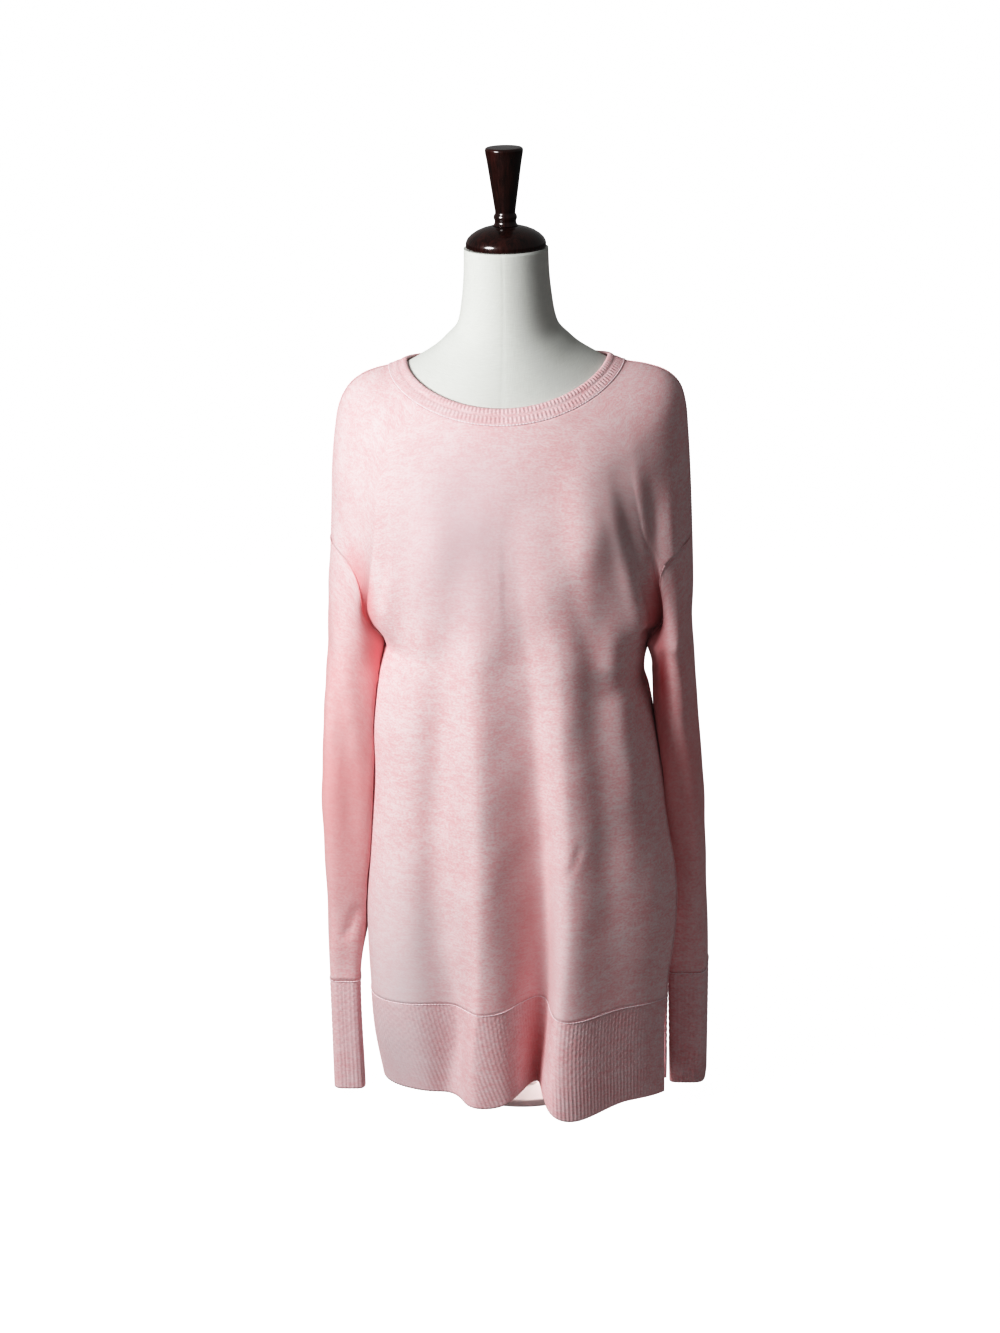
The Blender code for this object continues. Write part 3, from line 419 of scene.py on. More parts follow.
def corners(grid):
    # the four corners of each face of a grid
    around = np.stack([grid[:-1, :-1], grid[1:, :-1], grid[1:, 1:], grid[:-1, 1:]], 2)
    return around.reshape(-1, *around.shape[2:])


def faceOut(points, quads, flats, away):
    # turns the faces over where they look inward; away points out of the cloth
    if (vertexNormals(points, quads) * away).sum() < 0:
        return quads[:, ::-1], flats[:, ::-1]
    return quads, flats


def sheetOf(grid, middle, away):
    # points, faces and flat places; middle is the column that the flat places are measured from
    index = np.arange(grid[..., 0].size).reshape(grid.shape[:2])
    points = grid.reshape(-1, 3)
    return points, *faceOut(points, corners(index), corners(flatPlaces(grid, middle)), away)


def tubeOf(grid):
    # the same for a tube, where the last column of faces comes back to the first points
    index, flat = np.arange(grid[..., 0].size).reshape(grid.shape[:2]), flatPlaces(grid, 0)
    girth = flat[:, -1:, 0] + norm(grid[:, :1] - grid[:, -1:], axis=-1)
    flat = np.concatenate([flat, np.stack([girth, flat[:, :1, 1]], -1)], 1)
    points, index = grid.reshape(-1, 3), np.concatenate([index, index[:, :1]], 1)
    away = (grid - grid.mean(axis=1, keepdims=True)).reshape(-1, 3)
    return points, *faceOut(points, corners(index), corners(flat), away)


def addPiece(name, mesh, material, slot):
    mesh.materials.append(material)
    piece = bpy.data.objects.new(name, mesh)
    scene.collection.objects.link(piece)
    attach(piece, "root")
    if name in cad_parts:
        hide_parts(name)
    return piece


def makePiece(name, points, quads, flats, material, slot, wall=None, ends=()):
    mesh = bpy.data.meshes.new(name)
    mesh.from_pydata(points.tolist(), [], quads.tolist() + list(ends))
    places = np.concatenate([flats.reshape(-1, 2), *(points[end, :2] for end in ends)])
    mesh.uv_layers.new(name="flat").uv.foreach_set("vector", places.astype(np.float32).ravel())
    mesh.shade_smooth()
    for end in mesh.polygons[len(quads):]:
        end.use_smooth = False
    piece = addPiece(name, mesh, material, slot)
    if wall:
        solid = piece.modifiers.new("wall", "SOLIDIFY")
        solid.thickness, solid.offset, solid.use_rim = wall, -1.0, True
    return piece


def fold(points, path, width, height, ends=0.3):
    # a soft ridge, or a trough if height is negative, along a short path of (x, z) that fades at its ends;
    # all in millimetres but the ends, a share of the path
    path = np.array(path) / 1000
    steps = norm(np.diff(path, axis=0), axis=1)
    starts = np.concatenate([[0.0], np.cumsum(steps)])
    nearest, place = np.full(len(points), 1e9), np.zeros(len(points))
    for i, step in enumerate(steps):
        along = (path[i + 1] - path[i]) / step
        offset = points[:, [0, 2]] - path[i]
        inside = np.clip(offset @ along, 0.0, step)
        away = norm(offset - inside[:, None] * along, axis=1)
        place = np.where(away < nearest, starts[i] + inside, place)
        nearest = np.minimum(nearest, away)
    share = smooth(place / starts[-1] / ends) * smooth((1 - place / starts[-1]) / ends)
    return height / 1000 * np.exp(-((nearest / width * 1000) ** 2)) * share


waves = {"count": 9, "shortest": 0.035, "longest": 0.12}


def uneven(points, size, seed):
    # slow waves in the cloth, the same each run
    draws = np.random.default_rng(seed)
    total = np.zeros(len(points))
    for _ in range(waves["count"]):
        heading = draws.normal(size=3)
        heading /= norm(heading) * draws.uniform(waves["shortest"], waves["longest"])
        total += np.sin(points @ heading * 2 * math.pi + draws.uniform(0, 6.28))
    return total * size / math.sqrt(waves["count"])


# Materials
def addGroup(name, inputs, outputs):
    group = bpy.data.node_groups.new(name, "ShaderNodeTree")
    for socket, kind, value in inputs:
        made = group.interface.new_socket(name=socket, in_out="INPUT", socket_type=f"NodeSocket{kind}")
        if value is not None:
            made.default_value = value
    for socket, kind in outputs:
        group.interface.new_socket(name=socket, in_out="OUTPUT", socket_type=f"NodeSocket{kind}")
    return group, group.nodes.new("NodeGroupInput").outputs, group.nodes.new("NodeGroupOutput").inputs


def addNode(tree, kind, settings=None, **inputs):
    node = tree.nodes.new(kind)
    for key, value in (settings or {}).items():
        setattr(node, key, value)
    for key, value in inputs.items():
        socket = node.inputs[int(key[2:]) if key.startswith("in") else key]
        if isinstance(value, bpy.types.NodeSocket):
            tree.links.new(value, socket)
        else:
            socket.default_value = value
    return node


def addMath(tree, operation, *values, kind="ShaderNodeMath"):
    numbered = {f"in{i}": value for i, value in enumerate(values)}
    return addNode(tree, kind, {"operation": operation}, **numbered).outputs[operation == "LENGTH"]


def plus(tree, first, second):
    return addMath(tree, "ADD", first, second)


def times(tree, first, second):
    return addMath(tree, "MULTIPLY", first, second)


def addVector(tree, operation, *values):
    return addMath(tree, operation, *values, kind="ShaderNodeVectorMath")


def addNoise(tree, place, scale, detail=2.0, roughness=0.5):
    place = addVector(tree, "MULTIPLY", place, scale)
    noise = addNode(tree, "ShaderNodeTexNoise", Vector=place, Scale=1.0, Detail=detail, Roughness=roughness)
    return noise.outputs["Fac"]


def remap(tree, value, low, high, toLow=0.0, toHigh=1.0):
    limits = {"in1": low, "in2": high, "in3": toLow, "in4": toHigh}
    return addNode(tree, "ShaderNodeMapRange", {"clamp": True}, in0=value, **limits).outputs[0]


def blendColour(tree, share, first, second):
    return addNode(tree, "ShaderNodeMix", {"data_type": "RGBA"}, in0=share, in6=first, in7=second).outputs[2]


def onCloth(tree):
    return addNode(tree, "ShaderNodeUVMap", {"uv_map": "flat"}).outputs[0]


def onPiece(tree):
    return addNode(tree, "ShaderNodeTexCoord").outputs["Object"]


fibres = {  # how fine across and up the flat cloth, detail, roughness, and share in the mix
    "short": ((330, 560, 1), 1.0, 0.5, 0.42), "long": ((80, 200, 1), 2.0, 0.6, 0.36),
    "dye": ((26, 34, 1), 2.0, 0.5, 0.22),
}


def makeHeather():
    # mixed pale and deep fibres: short streaks along the courses, longer ones, and slow changes of dye
    tree, given, result = addGroup("heatherYarn", [
        ("Flat", "Vector", None), ("Pale", "Color", None), ("Deep", "Color", None), ("Streaks", "Float", 1.0),
    ], [("Colour", "Color"), ("Slub", "Float")])
    short, long, dye = (addNoise(tree, given["Flat"], *row[:3]) for row in fibres.values())
    mix = plus(tree, times(tree, short, fibres["short"][3]), times(tree, long, fibres["long"][3]))
    mix = plus(tree, mix, times(tree, dye, fibres["dye"][3]))
    streaks = times(tree, addMath(tree, "SUBTRACT", mix, 0.5), given["Streaks"])
    share = remap(tree, plus(tree, streaks, 0.5), 0.30, 0.68)
    tree.links.new(blendColour(tree, share, given["Deep"], given["Pale"]), result["Colour"])
    tree.links.new(short, result["Slub"])
    return tree


def makeStitches():
    # plain knit: each wale is a stack of V-shaped stitches
    tree, given, result = addGroup("knitStitches", [
        ("Flat", "Vector", None), ("Wale", "Float", 0.0018), ("Course", "Float", 0.0014),
    ], [("Height", "Float")])
    split = addNode(tree, "ShaderNodeSeparateXYZ", Vector=given["Flat"]).outputs
    wale = addMath(tree, "FRACT", addMath(tree, "DIVIDE", split[0], given["Wale"]))
    aside = times(tree, addMath(tree, "ABSOLUTE", addMath(tree, "SUBTRACT", wale, 0.5)), 2.0)
    course = addMath(tree, "DIVIDE", split[1], given["Course"])
    leg = addMath(tree, "PINGPONG", plus(tree, course, times(tree, aside, 0.9)), 0.5)
    fromTop = addMath(tree, "ABSOLUTE", addMath(tree, "SUBTRACT", times(tree, aside, 2.0), 1.0))
    crown = addMath(tree, "SUBTRACT", 1.0, addMath(tree, "POWER", fromTop, 3.0))
    height = times(tree, addMath(tree, "SQRT", times(tree, leg, 2.0)), crown)
    tree.links.new(height, result["Height"])
    return tree


def makeWeave():
    # plain weave: threads over and under one another, each a little thicker or thinner
    tree, given, result = addGroup("plainWeave", [
        ("Flat", "Vector", None), ("Thread", "Float", 0.0009),
    ], [("Height", "Float"), ("Slub", "Float")])
    turns = addMath(tree, "DIVIDE", math.pi, given["Thread"])
    scaled = addNode(tree, "ShaderNodeVectorMath", {"operation": "SCALE"}, in0=given["Flat"], Scale=turns)
    split = addNode(tree, "ShaderNodeSeparateXYZ", Vector=scaled.outputs[0]).outputs
    over = times(tree, addMath(tree, "SINE", split[0]), addMath(tree, "SINE", split[1]))
    warp = addNoise(tree, given["Flat"], (1500, 90, 1), 1.0)
    weft = addNoise(tree, given["Flat"], (90, 1500, 1), 1.0)
    slub = times(tree, plus(tree, warp, weft), 0.5)
    height = plus(tree, times(tree, addMath(tree, "ABSOLUTE", over), 0.6), slub)
    tree.links.new(height, result["Height"])
    tree.links.new(slub, result["Slub"])
    return tree


def addMaterial(name, plain):
    material = bpy.data.materials.new(name)
    material.use_nodes = True
    shader = material.node_tree.nodes["Principled BSDF"]
    for key, value in plain.items():
        shader.inputs[key].default_value = value
    return material, material.node_tree, shader


def finish(tree, shader, colour, roughness, height, strength, distance):
    bump = addNode(tree, "ShaderNodeBump", Height=height, Strength=strength, Distance=distance).outputs[0]
    for socket, value in (("Base Color", colour), ("Roughness", roughness), ("Normal", bump)):
        tree.links.new(value, shader.inputs[socket])


def useGroup(tree, group, **inputs):
    return addNode(tree, "ShaderNodeGroup", {"node_tree": group}, **inputs).outputs


heather, stitches, weave = makeHeather(), makeStitches(), makeWeave()


def makeYarn(name, yarn):
    material, tree, shader = addMaterial(name, {
        "Sheen Weight": yarn["sheen"], "Sheen Roughness": 0.45, "Specular IOR Level": 0.25,
    })
    flat, place = onCloth(tree), onPiece(tree)
    pale, deep = (*yarn["pale"], 1), (*yarn["deep"], 1)
    mixed = useGroup(tree, heather, Flat=flat, Pale=pale, Deep=deep, Streaks=yarn["streaks"])
    colour = mixed["Colour"]
    for middle, reach, most, dye in yarn.get("patches", []):  # painted shading: deeper pink, dark red or greyer colour round given places, standing in for shade in creases and hollows, light through the knit and the greyer look of lit knit
        away = addVector(tree, "SUBTRACT", place, [value / 1000 for value in middle])
        away = addVector(tree, "LENGTH", addVector(tree, "DIVIDE", away, [value / 1000 for value in reach]))
        colour = blendColour(tree, remap(tree, away, 0.0, 1.0, most, 0.0), colour, (*dye, 1))
    knit = useGroup(tree, stitches, Flat=flat, Wale=yarn["wale"], Course=yarn["course"])
    height = plus(tree, knit["Height"], times(tree, mixed["Slub"], 0.8))
    roughness = remap(tree, mixed["Slub"], 0.3, 0.7, 0.82, 0.95)
    finish(tree, shader, colour, roughness, height, yarn["relief"], 0.0004)
    return material


plainYarn = {
    "pale": (0.92, 0.69, 0.70), "deep": (0.875, 0.485, 0.50), "streaks": 1.9, "sheen": 0.145,
    "wale": 0.0018, "course": 0.0014, "relief": 0.35,
}
knitYarn = makeYarn("pinkKnit", {
    **plainYarn,
    # painted shading: salmon and dark red in both armpit creases and in the skirt's middle valley, darker
    # greyish pink for the shade across the bust and on the left chest, which is turned from the light, and
    # greyer where the lower skirt is lit
    "patches": [((-158, -60, 560), (24, 80, 80), 1.0, (1.00, 0.25, 0.26)),
                ((152, -60, 545), (18, 80, 60), 0.8, (0.82, 0.24, 0.25)),
                ((-120, -110, 150), (85, 200, 190), 0.75, (0.72, 0.63, 0.645)),
                ((-35, -130, 650), (105, 200, 155), 0.85, (0.74, 0.55, 0.575)),
                ((120, -90, 660), (50, 120, 125), 0.70, (0.66, 0.50, 0.505)),
                ((45, -140, 180), (32, 200, 200), 0.60, (0.76, 0.60, 0.615)),
                ((20, -100, 250), (35, 200, 230), 0.45, (0.88, 0.44, 0.44))],
})
# the same knit, with painted shading of its own on the sleeves
sleeveYarn = makeYarn("pinkKnitSleeve", {
    **plainYarn,
    # painted shading: a deeper pink band down both sleeves and on the right sleeve's outside stands in for
    # light through the knit; salmon in the right armpit crease and dark red in the left sleeve's front valley
    # beside the body are painted shade
    "patches": [((0, 0, 370), (9000, 9000, 260), 0.55, (0.90, 0.34, 0.34)),
                ((-190, 0, 360), (100, 1000, 220), 0.45, (0.90, 0.34, 0.34)),
                ((-140, -50, 505), (24, 60, 90), 0.7, (1.0, 0.25, 0.26)),
                ((159, -45, 480), (11, 60, 130), 0.9, (0.55, 0.09, 0.10))],
})
ribYarn = makeYarn("pinkRib", {
    **plainYarn, "pale": (0.875, 0.645, 0.66), "deep": (0.815, 0.440, 0.455), "streaks": 1.6,
    "wale": 0.00225, "course": 0.0016,
    # painted shading: greyer where the lower right of the hem band is lit, and dark red in its middle valley
    # for painted shade
    "patches": [((-130, -100, 80), (90, 200, 130), 0.75, (0.66, 0.55, 0.57)),
                ((20, -60, 80), (24, 60, 130), 0.7, (0.72, 0.27, 0.27))],
})
linkYarn = makeYarn("palePink", {
    **plainYarn, "pale": (0.96, 0.85, 0.87), "deep": (0.91, 0.65, 0.68), "streaks": 1.6,
    "sheen": 0.12, "relief": 0.2,
})


def makeCanvas(cloth):
    material, tree, shader = addMaterial("canvas", {"Specular IOR Level": 0.3})
    woven = useGroup(tree, weave, Flat=onCloth(tree), Thread=cloth["thread"])
    soiled = addNoise(tree, onPiece(tree), cloth["soiling"], 3.0)
    share = plus(tree, times(tree, woven["Slub"], 0.7), times(tree, soiled, 0.3))
    colour = blendColour(tree, remap(tree, share, 0.35, 0.65), (*cloth["shade"], 1), (*cloth["colour"], 1))
    roughness = remap(tree, woven["Slub"], 0.3, 0.7, 0.8, 0.95)
    finish(tree, shader, colour, roughness, woven["Height"], cloth["relief"], 0.0003)
    return material


def makeWood(wood):
    material, tree, shader = addMaterial("darkWood", {
        "Coat Roughness": 0.03, "Coat IOR": 1.5, "Specular IOR Level": 0.3,
    })
    grain = addNoise(tree, onPiece(tree), wood["grain"], 4.0, 0.6)
    bands = addNoise(tree, onPiece(tree), wood["bands"], 2.0)
    share = plus(tree, times(tree, grain, 0.5), times(tree, bands, 0.5))
    colour = blendColour(tree, remap(tree, share, 0.38, 0.62), (*wood["dark"], 1), (*wood["red"], 1))
    tree.links.new(remap(tree, bands, 0.3, 0.7, 0.9, 1.0), shader.inputs["Coat Weight"])
    finish(tree, shader, colour, remap(tree, grain, 0.35, 0.65, 0.22, 0.38), grain, 0.08, 0.0003)
    return material


def makeSteel(paint):
    material, tree, shader = addMaterial("whiteSteel", {"Specular IOR Level": 0.5})
    grain = addNoise(tree, onPiece(tree), paint["grain"], 2.0)
    worn = addNoise(tree, onPiece(tree), paint["wear"], 3.0)
    colour = blendColour(tree, remap(tree, worn, 0.35, 0.65), (*paint["shade"], 1), (*paint["colour"], 1))
    finish(tree, shader, colour, remap(tree, worn, 0.3, 0.7, 0.30, 0.42), grain, 0.12, 0.0002)
    return material


canvas = makeCanvas({
    "colour": (0.73, 0.745, 0.71), "shade": (0.64, 0.65, 0.615), "thread": 0.0007, "relief": 0.3,
    "soiling": (14, 14, 9),
})
darkWood = makeWood({
    "dark": (0.006, 0.0025, 0.002), "red": (0.040, 0.009, 0.006), "grain": (420, 420, 26), "bands": (90, 90, 9),
})
whiteSteel = makeSteel({
    "colour": (0.86, 0.86, 0.84), "shade": (0.80, 0.80, 0.78),
    "grain": (1600, 1600, 1600), "wear": (22, 22, 22),
})
print("materials made")

# The front and back
panel = {
    "wall": 0.0019, "yokeRows": 74, "bodyRows": 112, "centreColumns": 112, "armColumns": 34,
    "frontSideColumns": 10, "backSideColumns": 16,
    "seamInset": 0.008,  # columns left free at each side seam
    "waves": 0.0006, "waveBottom": 0.15, "waveTop": 0.76,  # slow waves between two heights
    "calmPast": 0.160, "calmBelow": 0.54,  # none where the sleeves hang close
}
frontFolds = [  # path, width, height and how much of the path each end fades over
    ([(-70, 740), (-72, 540)], 27, 6, 0.5),  # bust
    ([(-112, 690), (-110, 500)], 18, -5, 0.5),
    ([(0, 690), (4, 560)], 26, -3, 0.5),
    ([(86, 740), (92, 540)], 26, 8, 0.5),
    ([(104, 720), (122, 620), (136, 560), (142, 510)], 7.5, 2.2, 0.45),  # beside the left arm
    ([(130, 760), (143, 640), (153, 556)], 10, 2.6, 0.45),
    ([(140, 536), (152, 520)], 5.5, -4.5),
    ([(150, 720), (157, 620), (159, 560)], 7, -3.4, 0.5),
    ([(168, 700), (174, 600), (173, 520)], 8, 3),
    ([(79, 325), (69, 297), (58, 275)], 4, -1.2),
    ([(108, 570), (114, 500), (122, 410), (136, 310)], 11, 4),
]
backFolds = [
    ([(-20, 660), (-24, 540), (-30, 430)], 16, -4),
    ([(52, 640), (48, 520), (50, 420)], 18, 4),
    ([(-95, 600), (-85, 500), (-82, 410)], 14, 3.5),
    ([(100, 590), (94, 500), (88, 360)], 13, -3.5),
]


def makePanel(name, front, folds, seed):
    inset, rows = panel["seamInset"], panel["yokeRows"]
    side = panel["frontSideColumns" if front else "backSideColumns"]
    shoulder, centre = panel["armColumns"], panel["centreColumns"]
    stops = [-2 + inset, -1.0, 1.0, 2 - inset]
    gap = seamGap / 2 / levelLength["yoke"]
    bottom = bandSeam - gap / 3  # a level is about three times as long there

    def yokeLevel(column, down):
        lowest = np.where(np.abs(column) <= 1, underarm, armholeLevel(np.abs(column)) - gap)
        return neckSeam + gap + (lowest - neckSeam - gap) * down

    yokeGrid = gridOf(np.linspace(0, 1, rows + 1),
                      lambda column, down: yokePoint(column, yokeLevel(column, down), front),
                      stops, [shoulder, centre, shoulder])
    bodyGrid = gridOf(np.linspace(0, 1, panel["bodyRows"] + 1),
                      lambda column, down: bodyPoint(column, underarm + (bottom - underarm) * down, front),
                      stops, [side, centre, side])
    first, last = yokeGrid.shape[1], bodyGrid.shape[1]
    yokeIndex = np.arange((rows + 1) * first).reshape(rows + 1, first)
    bodyIndex = np.arange(bodyGrid.shape[0] * last).reshape(-1, last) + yokeIndex.size
    bodyIndex[0, side:side + centre + 1] = yokeIndex[rows, shoulder:shoulder + centre + 1]
    yokeFlat = flatPlaces(yokeGrid, shoulder + centre // 2, True)
    bodyFlat = flatPlaces(bodyGrid, side + centre // 2)
    points = np.concatenate([yokeGrid.reshape(-1, 3), bodyGrid.reshape(-1, 3)])
    quads = np.concatenate([corners(yokeIndex), corners(bodyIndex)])
    flats = np.concatenate([corners(yokeFlat), corners(bodyFlat)])
    quads, flats = faceOut(points, quads, flats, np.array([0.0, -1.0 if front else 1.0, 0.3]))
    used, back = np.unique(quads, return_inverse=True)  # the shared row leaves a few points free
    points, quads = points[used], back.reshape(-1, 4)
    z, beside = points[:, 2], ramp(np.abs(points[:, 0]), panel["calmPast"], -0.03)
    calm = beside + (1 - beside) * ramp(z, panel["calmBelow"], 0.06)
    calm = calm * ramp(z, panel["waveBottom"], 0.1) * ramp(z, panel["waveTop"], -0.1)
    height = sum(fold(points, *row) for row in folds) + uneven(points, panel["waves"], seed) * calm
    points = points + vertexNormals(points, quads) * height[:, None]
    return makePiece(name, points, quads, flats, knitYarn, "knit", panel["wall"])


sweaterFront = makePanel("sweater_front", True, frontFolds, seed=3)
sweaterBack = makePanel("sweater_back", False, backFolds, seed=7)
print("front and back made")

# The ribbed bands: half-drop purl bumps above, plain one by one rib along the edge
rib = {
    "wall": 0.0020, "pitch": 0.0045, "columns": 5,  # columns to a rib
    "rowHeight": 0.0018, "relief": 0.0005,
    "plainShare": 0.34,  # of the band's length, at its edge
    "bump": 0.0072,  # how far down one bump and its gap go
    "hemLength": 0.102, "cuffLength": 0.125,
}
vents = {"front": (0.0015, 0.0015), "back": (0.012, 0.016)}  # how far each edge draws back, right and left


def ribCrown(column, columns):
    # 1 on a rib and 0 between ribs
    return np.cos((column % columns / columns - 0.4) * math.pi) ** 2


def ribRelief(columns, rows, length):
    # how far each point stands out, for a grid of rows by columns
    column, row = np.meshgrid(np.arange(columns), np.arange(rows))
    down = row / (rows - 1) * length
    drop = 0.5 + 0.5 * np.cos(2 * math.pi * (down / rib["bump"] + (column // rib["columns"] % 2) / 2))
    plain = smooth((down / length - (1 - rib["plainShare"])) / 0.04 + 0.5)
    return rib["relief"] * ribCrown(column, rib["columns"]) * (plain + (1 - plain) * (0.1 + 1.1 * drop))


def ribCount(length):
    return max(1, round(length / rib["pitch"])) * rib["columns"]


def makeHemBand(name, front):
    drawn, inset = vents["front" if front else "back"], panel["seamInset"]
    top = bandSeam + 1.5 * seamGap / levelLength["band"]
    lengths = [lengthOf(bodyPoint(np.linspace(first, last, count), bandMiddle, front))
               for first, last, count in ((-2, -1, 50), (-1, 1, 300), (1, 2, 50))]
    counts = [ribCount(length) for length in lengths]
    right, left = drawn[0] / lengths[0], drawn[1] / lengths[2]  # in columns
    grid = gridOf(
        np.linspace(0, 1, round(rib["hemLength"] / rib["rowHeight"]) + 1),
        lambda column, down: bodyPoint(column, top + (bandEdge - top) * down, front),
        lambda down: [inset - 2 + right * down, -1, 1, 2 - inset - left * down], counts)
    away = np.array([0.0, -1.0 if front else 1.0, 0.0])
    points, quads, flats = sheetOf(grid, counts[0] + counts[1] // 2, away)
    relief = ribRelief(grid.shape[1], grid.shape[0], rib["hemLength"]).ravel()
    points = points + vertexNormals(points, quads) * relief[:, None]
    return makePiece(name, points, quads, flats, ribYarn, "rib", rib["wall"])


hemBandFront = makeHemBand("hem_band_front", True)
hemBandBack = makeHemBand("hem_band_back", False)
print("hem bands made")

# The sleeves and cuffs
sleeve = {
    "wall": 0.0019, "rows": 128, "columns": (22, 22, 12, 12),  # front, back, and under the arm
    "waves": 0.0007, "waveBottom": 0.145,
    "calmWithin": 0.158, "calmBelow": 0.54,  # no waves where the body hangs close
}
sleeveFolds = {
    "right": [
        ([(-172, 515), (-165, 450), (-160, 385)], 4.5, 2.8),
        ([(-183, 530), (-179, 450), (-172, 380), (-170, 280)], 6, -3),
        ([(-166, 235), (-176, 208), (-188, 182)], 4.5, -3),
        ([(-186, 560), (-176, 490), (-168, 420)], 6, 2.5),
    ],
    "left": [
        ([(159, 590), (162, 530), (164, 460), (166, 370)], 5.5, -5.5, 0.4),
        ([(174, 620), (175, 540), (177, 440)], 8, 2.5),
        ([(187, 560), (188, 470), (190, 380)], 6, -3),
        ([(186, 300), (190, 240), (184, 190)], 6, 2.5),
    ],
}


quarters = [0.0, 1.0, 2.0, 3.0, 4.0]


def makeTube(name, grid, material, slot, wall, shapeOf):
    points, quads, flats = tubeOf(grid)
    points = points + vertexNormals(points, quads) * shapeOf(points, grid.shape)[:, None]
    return makePiece(name, points, quads, flats, material, slot, wall)


def makeSleeve(word, seed):
    gap = seamGap / levelLength["yoke"]

    def place(turn, down):
        turn = np.where(turn > 3, turn - 4, turn)
        outside = (turn >= 0) & (turn <= 2)
        part = np.where(turn <= 1, turn, 2 - turn)
        start = np.where(outside, armholeLevel(1 + part), underarm) + gap
        level = start + (bandSeam - gap / 3 - start) * down
        tube = sleevePoint(turn, np.maximum(level, underarm), word)
        cap = capPoint(turn, np.minimum(level, underarm), dict(sides)[word])
        return np.where((outside & (level < underarm))[:, None], cap, tube)

    def shapeOf(points, shape):
        z, outside = points[:, 2], ramp(np.abs(points[:, 0]), sleeve["calmWithin"], 0.02)
        calm = outside + (1 - outside) * ramp(z, sleeve["calmBelow"], 0.06)
        calm = calm * ramp(z, sleeve["waveBottom"], 0.04)
        folds = sum(fold(points, *row) for row in sleeveFolds[word]) * ramp(points[:, 1], 0.03, -0.03)
        return folds + uneven(points, sleeve["waves"], seed) * calm

    grid = gridOf(np.linspace(0, 1, sleeve["rows"] + 1), place, quarters, sleeve["columns"], True)
    return makeTube(f"sleeve_{word}", grid, sleeveYarn, "knit", sleeve["wall"], shapeOf)


def makeCuff(word):
    ring = ringPoint(np.linspace(0, 4, 400), bandMiddle, word)
    counts = [ribCount(lengthOf(ring[i * 100:(i + 1) * 100 + 1])) for i in range(4)]
    levels = np.linspace(bandSeam + seamGap / levelLength["band"], bandEdge,
                         round(rib["cuffLength"] / rib["rowHeight"]) + 1)
    grid = gridOf(levels, lambda turn, level: ringPoint(turn, level, word), quarters, counts, True)
    shapeOf = lambda points, shape: ribRelief(shape[1], shape[0], rib["cuffLength"]).ravel()
    return makeTube(f"cuff_{word}", grid, ribYarn, "rib", rib["wall"], shapeOf)


sleeveRight, sleeveLeft = makeSleeve("right", seed=11), makeSleeve("left", seed=13)
cuffRight, cuffLeft = makeCuff("right"), makeCuff("left")
print("sleeves and cuffs made")

# The neckband: radial ribs, a row of small holes along its middle and a raised edge where it is linked on
neck = {
    "wall": 0.0022, "ribs": 150, "columns": 5, "rows": 16, "relief": 0.0008,
    "ribsFrom": 0.0, "ribsTo": 0.92,  # shares of the band, from its free edge
    "pits": 0.0013, "pitAt": 0.45, "pitWidth": 0.07, "edge": 0.0008, "edgeAt": 0.95, "edgeWidth": 0.05,
    "roll": 0.0012, "rollTo": 0.15,
}


def neckPoint(angle, level):
    return saddlePoint(angle, level, yoke["power"][0])[0]


def makeNeckband():
    def shapeOf(points, shape):
        column, row = np.meshgrid(np.arange(shape[1]), np.arange(shape[0]) / (shape[0] - 1))
        crown = ribCrown(column, neck["columns"])
        ribs = neck["relief"] * crown * ramp(row, neck["ribsFrom"], 0.12) * ramp(row, neck["ribsTo"], -0.1)
        pits = neck["pits"] * np.exp(-((row - neck["pitAt"]) / neck["pitWidth"]) ** 2) * crown
        edge = neck["edge"] * np.exp(-((row - neck["edgeAt"]) / neck["edgeWidth"]) ** 2)
        return (ribs - pits + edge - neck["roll"] * np.clip(1 - row / neck["rollTo"], 0, 1) ** 2).ravel()

    levels = np.linspace(0, neckSeam - 1.5 * seamGap / levelLength["neck"], neck["rows"] + 1)
    grid = gridOf(levels, neckPoint, [0.0, 2 * math.pi], [neck["ribs"] * neck["columns"]], True)
    return makeTube("neckband", grid, ribYarn, "rib", neck["wall"], shapeOf)


neckband = makeNeckband()
print("neckband made")

# The seams: a fine beaded cord of linked loops over each join
cord = {"radius": 0.0007, "neckRadius": 0.0009, "bead": 0.0034, "sides": 6, "step": 0.00055, "waist": 0.55}


def makeSeam(name, place, first, last, out, material=linkYarn, slot="rib", radius=cord["radius"], lift=0.3,
             closed=False):
    count = round(lengthOf(place(np.linspace(first, last, 400))) / cord["step"])
    middle = place(evenly(place, first, last, count))
    along = np.gradient(middle, axis=0)
    along /= norm(along, axis=1, keepdims=True)
    out = out(middle)
    out = out - (out * along).sum(1, keepdims=True) * along
    out /= norm(out, axis=1, keepdims=True)
    aside = np.cross(along, out)
    beads = np.abs(np.cos(np.arange(count) * cord["step"] / cord["bead"] * math.pi))
    thickness = radius * (cord["waist"] + (1 - cord["waist"]) * beads)
    angle = np.arange(cord["sides"]) / cord["sides"] * 2 * math.pi
    ring = np.cos(angle)[None, :, None] * aside[:, None] + np.sin(angle)[None, :, None] * out[:, None]
    grid = middle[:, None] + (out * radius * lift)[:, None] + ring * thickness[:, None, None]
    if closed:
        grid = np.concatenate([grid, grid[:1]])
    return makePiece(name, *tubeOf(grid), material, slot)


def squareOut(middle):
    # level, square to the join, and away from the middle of the body
    normal = np.cross(np.gradient(middle, axis=0), [0, 0, 1.0])
    return normal * np.sign((normal * middle * [1, 1, 0]).sum())


